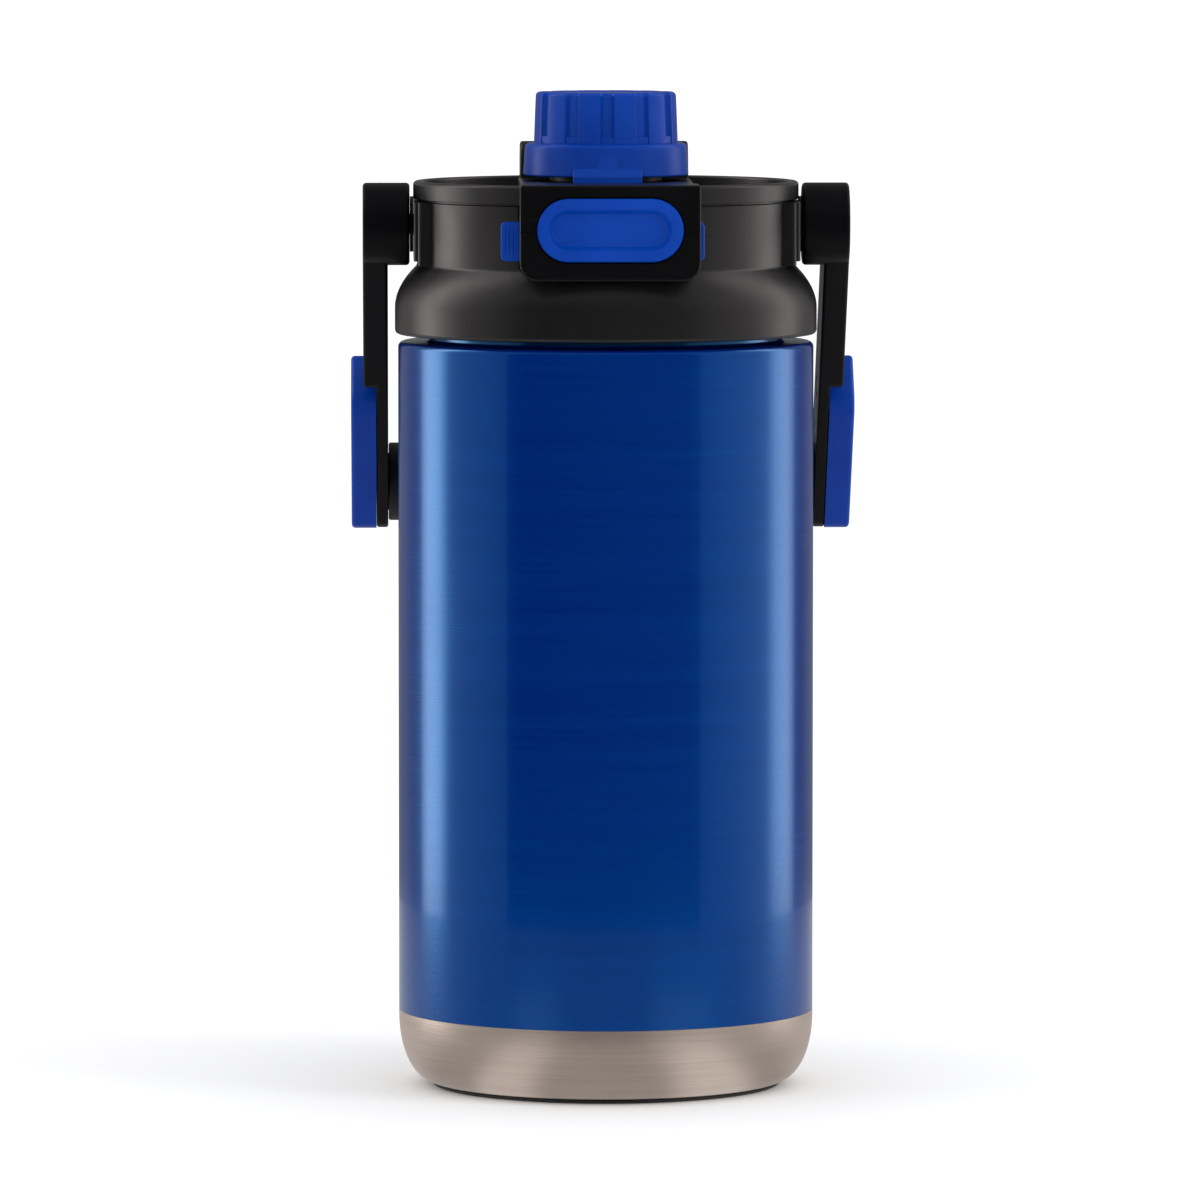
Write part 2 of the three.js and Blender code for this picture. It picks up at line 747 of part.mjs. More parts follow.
/** The lock slider: a bar across the housing with a ribbed end on its left. */
function lockSlider() {
  const { bottom, height, thickness, leftReach, rightReach, cornerRadius, edge } = lock;
  const { grooveWidth, grooveDepth, grooveMargin, grooves } = lock;
  const [left, right] = [-latch.halfWidth - leftReach, latch.halfWidth + rightReach];
  const shape = roundedRect((left + right) / 2, bottom + height / 2, right - left, height, cornerRadius);
  let slider = frontPlate(shape, lockFront, lockFront + thickness, edge, 3);
  for (const along of grooves) {
    const [from, to] = [left + along - grooveWidth / 2, left + along + grooveWidth / 2];
    const [low, high] = [bottom + grooveMargin, bottom + height - grooveMargin];
    slider = slider.subtract(block([from, lockFront - OVERCUT, low], [to, lockFront + grooveDepth, high]));
  }
  return slider;
}

/** The flip cap in its own frame, with the hinge axis at the origin. */
function flipCap() {
  const { skirtRadius, skirtEdge, skirtTop: ledge, top, round, hingeZ, fluteRadius, fluteDepth } = cap;
  const skirtTopRadius = skirtRadius - cap.skirtDraft;
  const knobTopRadius = knobRadius - cap.knobDraft;
  let body = turned(
    [
      [0, capBottom],
      [skirtRadius - skirtEdge, capBottom],
      [skirtRadius, capBottom + skirtEdge],
      ...corner(skirtTopRadius - round, ledge - round, round, round, 0, 90, 2),
      [knobRadius, ledge],
      ...corner(knobTopRadius - round, top - round, round, round, 0, 90, 2),
      [0, top],
    ],
    FACETS.large,
  );
  for (let i = 0; i < cap.flutes; i += 1) {
    const angle = -Math.PI / 2 + (i * 2 * Math.PI) / cap.flutes;
    const reach = knobRadius + fluteRadius - fluteDepth;
    const flute = drum(fluteRadius, ledge + cap.fluteStart, top + OVERCUT, 10);
    body = body.subtract(flute.translate([reach * Math.cos(angle), reach * Math.sin(angle), 0]));
  }
  body = body.add(flipKnuckle()).add(flipTongue());
  body = body.subtract(drum(cap.innerRadius, capBottom - OVERCUT, sealTop + GAP, FACETS.medium));
  const bore = alongX(drum(cap.pinRadius + GAP, -earOuter, earOuter)).translate([0, hingeY, hingeZ]);
  return body.subtract(bore).translate([0, -hingeY, -hingeZ]);
}

/** The cap's hinge barrel and the web that joins it to the skirt. */
function flipKnuckle() {
  const { hingeZ, knuckleRadius: radius, knuckleHalfWidth: half, skirtEdge } = cap;
  const root = cap.innerRadius + skirtEdge;
  const shape = new THREE.Shape();
  shape.absarc(hingeY, hingeZ, radius, -Math.PI / 2, Math.PI / 2, false);
  shape.lineTo(root, hingeZ + radius);
  shape.lineTo(root, capBottom);
  shape.lineTo(hingeY - radius / 2, capBottom);
  shape.closePath();
  return toSolid(extruded(shape, 2 * half, skirtEdge, 8).applyMatrix4(ALONG_X).translate(-half, 0, 0));
}

/** The tongue at the front of the cap, with the nose that hooks under the catch plate. */
function flipTongue() {
  const { tongueNose, tongueNoseHeight, tongueLead, tongueDrop, skirtTop: ledge } = cap;
  const noseTop = catchBottom - GAP;
  const root = -cap.innerRadius - OVERCUT;
  const shape = new THREE.Shape();
  shape.moveTo(tongueFront, noseTop - tongueNoseHeight);
  shape.lineTo(tongueBack, noseTop - tongueNoseHeight);
  shape.lineTo(tongueBack + tongueNose, noseTop - tongueLead);
  shape.lineTo(tongueBack + tongueNose, noseTop);
  shape.lineTo(tongueBack, noseTop);
  shape.lineTo(tongueBack, capBottom);
  shape.lineTo(root, capBottom);
  shape.lineTo(root, ledge - tongueDrop);
  shape.lineTo(tongueFront + tongueLead, ledge - tongueDrop);
  shape.lineTo(tongueFront, ledge - tongueDrop - tongueLead);
  shape.closePath();
  return toSolid(extruded(shape, 2 * tongueHalf, 0).applyMatrix4(ALONG_X).translate(-tongueHalf, 0, 0));
}

/** The soft plug inside the cap that closes the spout, in the cap's own frame. */
function capSeal() {
  const plug = spoutBore - cap.sealFit;
  const end = spout.top - cap.sealDepth;
  const rim = cap.innerRadius - cap.sealRim;
  const outline = [
    [0, end],
    [plug - cap.sealTaper, end],
    [plug, spout.top],
    [plug, sealBottom],
    [rim, sealBottom],
    [rim, sealTop],
    [0, sealTop],
  ];
  return turned(outline, FACETS.medium).translate([0, -hingeY, -cap.hingeZ]);
}

/** The steel pin through the ears and the cap's barrel. */
function hingePin() {
  const half = earOuter - cap.pinInset;
  return alongX(drum(cap.pinRadius, -half, half)).translate([0, hingeY, cap.hingeZ]);
}

/** A thin washer between a pivot pad and the handle. */
function pivotWasher(side) {
  const [inner, outer] = [padX + GAP, padX + GAP + pivot.washerThickness];
  const radius = pivot.washerRadius;
  const outline = [[boreRadius, inner], [radius, inner], [radius, outer], [boreRadius, outer]];
  return sideTurned(outline, side, FACETS.medium).translate([0, 0, pivot.z]);
}

/** The shoulder screw that the handle turns on. */
function pivotScrew(side) {
  const start = lidInner - GAP - pivot.nutThickness;
  const { shaftRadius, headRadius, headThickness, headEdge, socketRadius, socketDepth } = pivot;
  const end = headInner + headThickness;
  const outline = [
    [0, start],
    [shaftRadius, start],
    [shaftRadius, headInner],
    [headRadius, headInner],
    [headRadius, end - headEdge],
    [headRadius - headEdge, end],
    [0, end],
  ];
  const socket = alongX(drum(socketRadius, end - socketDepth, end + OVERCUT, 6));
  const screw = sideTurned(outline, side).subtract(side > 0 ? socket : socket.mirror([1, 0, 0]));
  return screw.translate([0, 0, pivot.z]);
}

/** The nut inside the lid that holds a shoulder screw. */
function pivotNut(side) {
  const outer = Math.sqrt(lidInner ** 2 - pivot.nutRadius ** 2) - GAP;
  const inner = outer - pivot.nutThickness;
  const outline = [[0, inner], [pivot.nutRadius, inner], [pivot.nutRadius, outer], [0, outer]];
  const bore = alongX(drum(boreRadius, -lid.skirtRadius, lid.skirtRadius));
  return sideTurned(outline, side, 6).subtract(bore).translate([0, 0, pivot.z]);
}

/** The cover pressed over a screw head, in the handle's frame. */
function pivotCap(side) {
  const { capThickness, capEdge } = pivot;
  const outer = handleOuter - GAP / 2;
  const inner = outer - capThickness;
  const radius = pivot.headRadius + GAP;
  const face = [[radius, outer - capEdge], [radius - capEdge, outer], [0, outer]];
  return sideTurned([[0, inner], [radius, inner], ...face], side, FACETS.medium);
}

/** The boss on one side of the bail, solid until it is bored. */
function bailBoss(side) {
  const { bossRadius, bossEdge } = handle;
  const outline = [
    [0, bossInner],
    [bossRadius - bossEdge, bossInner],
    [bossRadius, bossInner + bossEdge],
    [bossRadius, handleOuter - bossEdge],
    [bossRadius - bossEdge, handleOuter],
    [0, handleOuter],
  ];
  return sideTurned(outline, side, FACETS.medium);
}

/** The bail in its own frame, hanging straight down from the pivot axis. */
function handleBail() {
  const { strapHalfWidth: half, strapCorner, strapEdge, stepAt, length, paddleCorner, paddleEdge } = handle;
  const { coreHalfWidth, coreHalfLength, coreCorner } = handle;
  const strap = new THREE.Shape();
  strap.moveTo(-half, 0);
  strap.absarc(-half + strapCorner, -stepAt + strapCorner, strapCorner, Math.PI, Math.PI * 1.5, false);
  strap.absarc(half - strapCorner, -stepAt + strapCorner, strapCorner, Math.PI * 1.5, Math.PI * 2, false);
  strap.lineTo(half, 0);
  strap.closePath();
  const paddleTop = stepAt - 2 * half;
  const paddle = roundedRect(0, -(length + paddleTop) / 2, 2 * half, length - paddleTop, paddleCorner);
  const core = roundedRect(0, -gripAt, 2 * coreHalfWidth, 2 * coreHalfLength, coreCorner);
  const span = strapInner + OVERCUT;
  let bail = toSolid(extruded(core, 2 * span, 0, 3).applyMatrix4(ALONG_X).translate(-span, 0, 0));
  for (const side of [-1, 1]) {
    const outer = handleOuter + OVERCUT;
    const shaftBore = [[0, 0], [boreRadius, 0], [boreRadius, outer], [0, outer]];
    const wellRadius = pivot.headRadius + 2 * GAP;
    const well = [[0, headInner - GAP], [wellRadius, headInner - GAP], [wellRadius, outer], [0, outer]];
    bail = bail
      .add(bailBoss(side))
      .add(sidePlate(strap, side, strapInner, handleOuter, strapEdge, 3))
      .add(sidePlate(paddle, side, strapInner, strapInner + handle.paddleThickness, paddleEdge, 3))
      .subtract(sideTurned(shaftBore, side))
      .subtract(sideTurned(well, side, FACETS.medium));
    for (const at of hook.screwAt) {
      const [hole, sink] = [hook.screwRadius + GAP, hook.screwHeadRadius + GAP];
      const [face, depth] = [strapInner - OVERCUT, strapInner + hook.screwHeadThickness + 2 * GAP];
      const counterbore = [[0, face], [sink, face], [sink, depth], [hole, depth], [hole, outer], [0, outer]];
      bail = bail.subtract(sideTurned(counterbore, side).translate([0, 0, -at]));
    }
  }
  return bail;
}

/** The soft grip moulded round the crossbar, in the handle's frame. */
function handleGrip() {
  const { gripHalfLength, gripHalfWidth, gripEdge, coreHalfLength, coreHalfWidth, coreCorner } = handle;
  const half = strapInner - GAP;
  const reach = half + OVERCUT;
  const outline = new THREE.Shape();
  outline.absellipse(0, -gripAt, gripHalfWidth, gripHalfLength, 0, 2 * Math.PI, false);
  const sleeve = extruded(outline, 2 * half, gripEdge, 20).applyMatrix4(ALONG_X).translate(-half, 0, 0);
  const [width, height] = [2 * (coreHalfWidth + GAP), 2 * (coreHalfLength + GAP)];
  const core = extruded(roundedRect(0, -gripAt, width, height, coreCorner + GAP), 2 * reach, 0, 3);
  return toSolid(sleeve).subtract(toSolid(core.applyMatrix4(ALONG_X).translate(-reach, 0, 0)));
}

/** A fence hook in the handle's frame: a plate over the paddle and a finger that turns back up behind it. */
function fenceHook(side) {
  const { start, end, thickness, cornerRadius: round, topCorner, heelRadius: heel, throatRound } = hook;
  const { throatStart, throatWidth, fingerWidth, tipAt, edge, screwLength } = hook;
  const half = handle.strapHalfWidth;
  const [near, far] = [half + throatWidth, half + throatWidth + fingerWidth];
  const tip = fingerWidth / 2;
  const shape = new THREE.Shape();
  shape.absarc(half - topCorner, -start - topCorner, topCorner, 0, Math.PI / 2, false);
  shape.absarc(-half + round, -start - round, round, Math.PI / 2, Math.PI, false);
  shape.absarc(-half + round, -end + round, round, Math.PI, Math.PI * 1.5, false);
  shape.absarc(far - heel, -end + heel, heel, Math.PI * 1.5, Math.PI * 2, false);
  shape.absarc(near + tip, -tipAt - tip, tip, 0, Math.PI, false);
  shape.absarc(near - throatRound, -throatStart + throatRound, throatRound, 0, -Math.PI / 2, true);
  shape.absarc(half + throatRound, -throatStart + throatRound, throatRound, -Math.PI / 2, -Math.PI, true);
  shape.closePath();
  let plate = sidePlate(shape, side, hookInner, hookInner + thickness, edge, 4);
  for (const at of hook.screwAt) {
    const hole = hook.screwRadius + GAP;
    const [face, depth] = [hookInner - OVERCUT, hookInner + screwLength];
    const outline = [[0, face], [hole, face], [hole, depth], [0, depth]];
    plate = plate.subtract(sideTurned(outline, side).translate([0, 0, -at]));
  }
  return plate;
}

/** A screw that holds a fence hook, in the handle's frame. */
function hookScrew(side, at) {
  const { screwRadius, screwHeadRadius: head, screwHeadThickness, screwHeadEdge, screwLength } = hook;
  const start = strapInner + GAP / 2;
  const end = hookInner + screwLength - GAP;
  const outline = [
    [0, start],
    [head - screwHeadEdge, start],
    [head, start + screwHeadEdge],
    [head, start + screwHeadThickness],
    [screwRadius, start + screwHeadThickness],
    [screwRadius, end],
    [0, end],
  ];
  return sideTurned(outline, side).translate([0, 0, -at]);
}

const SIDES = [["left", -1], ["right", 1]];

const jug = new THREE.Group();

const bottleGroup = new THREE.Group();
bottleGroup.add(
  piece("outer_shell", outerShell(), "bodyPaint"),
  piece("base_cup", baseCup(), "steel"),
  piece("inner_liner", innerLiner(), "steel"),
  piece("foot_pad", footPad(), "rubber"),
  piece("vacuum_getter", vacuumGetter(), "steel"),
);

const lidGroup = new THREE.Group();
lidGroup.add(
  piece("lid_gasket", lidGasket(), "silicone"),
  piece("lid_collar", lidCollar(), "charcoal"),
  piece("lid_deck", lidDeck(), "black"),
  piece("lid_plug", lidPlug(), "charcoal"),
  piece("lid_foam", lidFoam(), "foam"),
  piece("spout", drinkingSpout(), "black"),
  piece("latch_housing", latchHousing(), "black"),
  piece("hinge_pin", hingePin(), "steel"),
  piece("push_button", pushButton(), "bluePlastic"),
  piece("latch_catch", latchCatch(), "black"),
  piece("lock_slider", lockSlider(), "bluePlastic"),
);

const capGroup = new THREE.Group();
capGroup.position.set(0, hingeY, cap.hingeZ);
capGroup.add(piece("flip_cap", flipCap(), "bluePlastic"), piece("cap_seal", capSeal(), "silicone"));

const handleGroup = new THREE.Group();
handleGroup.position.set(0, 0, pivot.z);
handleGroup.rotation.x = lean;
handleGroup.add(piece("handle_bail", handleBail(), "black"), piece("handle_grip", handleGrip(), "rubber"));

for (const [label, side] of SIDES) {
  lidGroup.add(
    piece(`button_spring_${label}`, buttonSpring(side), "steel"),
    piece(`pivot_washer_${label}`, pivotWasher(side), "black"),
    piece(`pivot_screw_${label}`, pivotScrew(side), "steel"),
    piece(`pivot_nut_${label}`, pivotNut(side), "steel"),
  );
  handleGroup.add(
    piece(`pivot_cap_${label}`, pivotCap(side), "black"),
    piece(`fence_hook_${label}`, fenceHook(side), "bluePlastic"),
    ...hook.screwAt.map((at, i) => piece(`hook_screw_${label}_${i + 1}`, hookScrew(side, at), "steel")),
  );
}

lidGroup.add(capGroup, handleGroup);
jug.add(bottleGroup, lidGroup);

export default jug;
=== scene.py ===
import json
import logging
import math
from dataclasses import dataclass, field
from enum import Enum
from typing import Callable, Sequence

import bmesh
import bpy
from mathutils import Matrix, Vector


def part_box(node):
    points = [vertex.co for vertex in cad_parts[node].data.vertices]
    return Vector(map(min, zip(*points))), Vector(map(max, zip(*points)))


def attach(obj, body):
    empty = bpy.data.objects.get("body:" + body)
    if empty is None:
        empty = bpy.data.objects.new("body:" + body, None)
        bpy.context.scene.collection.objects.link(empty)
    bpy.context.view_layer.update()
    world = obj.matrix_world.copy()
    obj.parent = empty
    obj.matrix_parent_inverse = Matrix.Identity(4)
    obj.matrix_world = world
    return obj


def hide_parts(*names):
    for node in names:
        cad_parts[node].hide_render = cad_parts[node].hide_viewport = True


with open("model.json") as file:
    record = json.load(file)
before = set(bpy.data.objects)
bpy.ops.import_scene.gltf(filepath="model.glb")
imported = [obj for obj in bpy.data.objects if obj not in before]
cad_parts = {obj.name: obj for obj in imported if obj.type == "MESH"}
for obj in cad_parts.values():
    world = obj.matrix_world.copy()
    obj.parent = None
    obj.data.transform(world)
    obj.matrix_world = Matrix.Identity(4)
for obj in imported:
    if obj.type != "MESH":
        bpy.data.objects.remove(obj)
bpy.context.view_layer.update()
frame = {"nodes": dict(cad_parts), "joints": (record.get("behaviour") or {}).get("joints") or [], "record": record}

MM = 0.001
LARGE, MEDIUM, SMALL = 160, 72, 40
SHARP_DEG = 32.0

log = logging.getLogger("jug")

Point = tuple[float, float]
Corner = tuple[float, ...]


# ---------------------------------------------------------------- geometry


@dataclass(frozen=True)
class Extent:
    """A CAD node's box, in millimetres."""

    low: Vector
    high: Vector

    @classmethod
    def of(cls, node: str) -> "Extent":
        """The box of one node.

        Args:
            node: the CAD node's name.

        Returns:
            Its lowest and highest corners in millimetres.
        """
        low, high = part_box(node)
        return cls(Vector(low) / MM, Vector(high) / MM)

    @property
    def radius(self) -> float:
        """Half the width along X."""
        return (self.high.x - self.low.x) / 2


def box_of(node: str) -> Extent:
    """A dataclass field that holds a CAD node's box.

    Args:
        node: the CAD node's name.

    Returns:
        The field, read when the owner is made.
    """
    return field(default_factory=lambda: Extent.of(node))


def joint_place(name: str) -> Vector:
    """Where a hinge's axis passes.

    Args:
        name: the joint's name.

    Returns:
        The point in millimetres.
    """
    return next(Vector(j["pos_m"]) / MM for j in frame["joints"] if j["name"] == name)


def rounded(corners: Sequence[Corner], steps: int = 5) -> list[Point]:
    """Rounds the corners of a closed outline.

    Args:
        corners: points in order, each (u, v) or (u, v, radius).
        steps: segments in each round.

    Returns:
        The outline with each round as an arc.
    """
    points: list[Point] = []
    count = len(corners)
    for i, corner in enumerate(corners):
        here = Vector(corner[:2])
        if len(corner) < 3 or corner[2] <= 0:
            points.append((here.x, here.y))
            continue
        back = (Vector(corners[i - 1][:2]) - here).normalized()
        on = (Vector(corners[(i + 1) % count][:2]) - here).normalized()
        half = back.angle(on) / 2
        centre = here + (back + on).normalized() * (corner[2] / math.sin(half))
        first = here + back * (corner[2] / math.tan(half)) - centre
        last = here + on * (corner[2] / math.tan(half)) - centre
        turn = first.angle_signed(last)
        for k in range(steps + 1):
            spun = first.copy()
            spun.rotate(Matrix.Rotation(-turn * k / steps, 2))
            points.append((centre.x + spun.x, centre.y + spun.y))
    return points


def arc(centre: Point, radii: Point, start: float, end: float, steps: int) -> list[Point]:
    """Points on an elliptical arc.

    Args:
        centre: the ellipse's centre.
        radii: its two half-axes.
        start: first angle in degrees.
        end: last angle in degrees.
        steps: number of segments.

    Returns:
        The points, both ends included.
    """
    angles = [math.radians(start + (end - start) * k / steps) for k in range(steps + 1)]
    return [(centre[0] + radii[0] * math.cos(a), centre[1] + radii[1] * math.sin(a)) for a in angles]


def stadium(width: float, height: float, centre: Point = (0.0, 0.0), steps: int = 20) -> list[Point]:
    """The outline of a bar with round ends.

    Args:
        width: overall width.
        height: overall height.
        centre: middle of the bar.
        steps: segments in each end.

    Returns:
        The outline, anticlockwise.
    """
    radius, reach = height / 2, (width - height) / 2
    right = arc((centre[0] + reach, centre[1]), (radius, radius), -90, 90, steps)
    left = arc((centre[0] - reach, centre[1]), (radius, radius), 90, 270, steps)
    return right + left


class Plane(Enum):
    """How a flat outline (u, v) and its thickness w lie in space."""

    FRONT = ((1, 0, 0), (0, 0, 1), (0, -1, 0))
    SIDE = ((0, 1, 0), (0, 0, 1), (1, 0, 0))
    LEVEL = ((1, 0, 0), (0, 1, 0), (0, 0, 1))

    def matrix(self) -> Matrix:
        """Returns the turn from (u, v, w) into the jug's axes."""
        return Matrix(self.value).transposed().to_4x4()


class Form:
    """A mesh being shaped, in millimetres."""

    def __init__(self) -> None:
        """Starts empty."""
        self.bm = bmesh.new()

    @classmethod
    def turned(cls, outline: Sequence[Point], segments: int = LARGE) -> "Form":
        """Spins a closed outline round Z.

        Args:
            outline: (radius, height) points in order; the ends may lie on the axis.
            segments: facets in the full turn.

        Returns:
            The closed form.
        """
        form = cls()
        bm = form.bm
        verts = [bm.verts.new((r, 0.0, z)) for r, z in outline]
        edges = [bm.edges.new(pair) for pair in zip(verts, verts[1:])]
        if not (outline[0][0] == 0 and outline[-1][0] == 0):
            edges.append(bm.edges.new((verts[-1], verts[0])))
        bmesh.ops.spin(
            bm, geom=verts + edges, cent=(0, 0, 0), axis=(0, 0, 1), angle=math.tau, steps=segments,
            use_merge=True,
        )
        return form.healed()

    @classmethod
    def plate(cls, outline: Sequence[Point], plane: Plane, start: float, end: float) -> "Form":
        """Extrudes a flat outline.

        Args:
            outline: (u, v) points in order.
            plane: how the outline lies.
            start: where the thickness begins along w.
            end: where it ends.

        Returns:
            The closed form.
        """
        form = cls()
        bm = form.bm
        face = bm.faces.new([bm.verts.new((u, v, start)) for u, v in outline])
        grown = bmesh.ops.extrude_face_region(bm, geom=[face])["geom"]
        moved = [g for g in grown if isinstance(g, bmesh.types.BMVert)]
        bmesh.ops.translate(bm, verts=moved, vec=(0, 0, end - start))
        bmesh.ops.transform(bm, matrix=plane.matrix(), verts=bm.verts)
        return form.healed()

    @classmethod
    def block(cls, low: Sequence[float], high: Sequence[float]) -> "Form":
        """A box between two corners.

        Args:
            low: lowest corner.
            high: highest corner.

        Returns:
            The closed form.
        """
        form = cls()
        size = [b - a for a, b in zip(low, high)]
        middle = [(a + b) / 2 for a, b in zip(low, high)]
        place = Matrix.Translation(middle) @ Matrix.Diagonal((*size, 1.0))
        bmesh.ops.create_cube(form.bm, size=1.0, matrix=place)
        return form.healed()

    @classmethod
    def rod(
        cls, radius: float, start: Sequence[float], end: Sequence[float], segments: int = MEDIUM
    ) -> "Form":
        """A cylinder between two points.

        Args:
            radius: its radius.
            start: centre of one end.
            end: centre of the other.
            segments: facets round it.

        Returns:
            The closed form.
        """
        form = cls()
        line = Vector(end) - Vector(start)
        middle = Matrix.Translation((Vector(start) + Vector(end)) / 2)
        place = middle @ line.to_track_quat("Z", "Y").to_matrix().to_4x4()
        bmesh.ops.create_cone(
            form.bm, cap_ends=True, segments=segments, radius1=radius, radius2=radius, depth=line.length,
            matrix=place,
        )
        return form.healed()

    def healed(self) -> "Form":
        """Merges doubled points, drops slivers and turns faces outwards."""
        bmesh.ops.remove_doubles(self.bm, verts=self.bm.verts, dist=1e-4)
        bmesh.ops.dissolve_degenerate(self.bm, edges=self.bm.edges, dist=1e-5)
        bmesh.ops.recalc_face_normals(self.bm, faces=self.bm.faces)
        return self

    def turned_by(self, matrix: Matrix) -> "Form":
        """Moves the form by a matrix.

        Args:
            matrix: the movement.

        Returns:
            The same form.
        """
        bmesh.ops.transform(self.bm, matrix=matrix, verts=self.bm.verts)
        if matrix.determinant() < 0:
            bmesh.ops.recalc_face_normals(self.bm, faces=self.bm.faces)
        return self

    def softened(
        self, width: float, where: Callable[[bmesh.types.BMEdge], bool], segments: int = 3
    ) -> "Form":
        """Rounds chosen sharp edges.

        Args:
            width: how far the round reaches from the edge.
            where: says which sharp edges are rounded.
            segments: facets across the round.

        Returns:
            The same form.
        """
        edges = [e for e in self.bm.edges if self._sharp(e) and where(e)]
        bmesh.ops.bevel(
            self.bm, geom=edges, offset=width, offset_type="OFFSET", segments=segments, profile=0.5,
            affect="EDGES", clamp_overlap=True, material=-1,
        )
        return self

    @staticmethod
    def facing_x(edge: bmesh.types.BMEdge) -> bool:
        """True for an edge that lies in a face square to X.

        Args:
            edge: the edge.

        Returns:
            Whether both its ends have one x.
        """
        return edge.verts[0].co.x == edge.verts[1].co.x

    @staticmethod
    def _sharp(edge: bmesh.types.BMEdge) -> bool:
        """True where two faces meet at more than the sharp angle.

        Args:
            edge: the edge.

        Returns:
            Whether it is sharp.
        """
        return len(edge.link_faces) == 2 and edge.calc_face_angle(0.0) > math.radians(SHARP_DEG)

    def joined(self, *others: "Form") -> "Form":
        """Unites this form with others that overlap it.

        Args:
            others: the forms to add.

        Returns:
            The same form.
        """
        return self._combined("UNION", others)

    def cut(self, *others: "Form") -> "Form":
        """Takes other forms away from this one.

        Args:
            others: the forms to take away.

        Returns:
            The same form.
        """
        return self._combined("DIFFERENCE", others)

    def _combined(self, operation: str, others: Sequence["Form"]) -> "Form":
        """Runs boolean operations one after another.

        Args:
            operation: UNION or DIFFERENCE.
            others: the other forms, in order.

        Returns:
            The same form.
        """
        for other in others:
            mine, theirs = self._as_object("work"), other._as_object("tool")
            modifier = mine.modifiers.new("combine", "BOOLEAN")
            modifier.operation, modifier.solver, modifier.object = operation, "EXACT", theirs
            graph = bpy.context.evaluated_depsgraph_get()
            result = bpy.data.meshes.new_from_object(mine.evaluated_get(graph))
            self.bm.clear()
            self.bm.from_mesh(result)
            for spent in (mine, theirs):
                mesh = spent.data
                bpy.data.objects.remove(spent)
                bpy.data.meshes.remove(mesh)
            bpy.data.meshes.remove(result)
            bmesh.ops.remove_doubles(self.bm, verts=self.bm.verts, dist=1e-4)
            bmesh.ops.dissolve_degenerate(self.bm, edges=self.bm.edges, dist=1e-4)
        return self

    def _as_object(self, name: str) -> bpy.types.Object:
        """A temporary object that holds the form.

        Args:
            name: the object's name.

        Returns:
            The object, in the scene.
        """
        mesh = bpy.data.meshes.new(name)
        self.bm.to_mesh(mesh)
        item = bpy.data.objects.new(name, mesh)
        bpy.context.scene.collection.objects.link(item)
        return item

    def finished(self, name: str) -> bpy.types.Object:
        """Turns the form into a piece in metres, with smooth faces and crisp edges.

        Args:
            name: the piece's name.

        Returns:
            The new object, at the origin.
        """
        bm = self.bm
        bmesh.ops.transform(bm, matrix=Matrix.Scale(MM, 4), verts=bm.verts)
        for face in bm.faces:
            face.smooth = True
        for edge in bm.edges:
            edge.smooth = not self._sharp(edge)
        mesh = bpy.data.meshes.new(name)
        bm.to_mesh(mesh)
        bm.free()
        item = bpy.data.objects.new(name, mesh)
        bpy.context.scene.collection.objects.link(item)
        weighted = item.modifiers.new("even shading", "WEIGHTED_NORMAL")
        weighted.keep_sharp = True
        log.info("%s: %d faces", name, len(mesh.polygons))
        return item


def place(item: bpy.types.Object, body: str, slot: str, finish: "Finish", *nodes: str) -> bpy.types.Object:
    """Dresses a piece and ties it to the frame.

    Args:
        item: the piece.
        body: the CAD body it rides on.
        slot: the record's material slot; not used.
        finish: what it is made of.
        nodes: the CAD nodes it stands for.

    Returns:
        The same piece.
    """
    item.data.materials.append(finish.material())
    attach(item, body)
    if nodes:
        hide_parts(*nodes)
    return item


# ---------------------------------------------------------------- shader groups


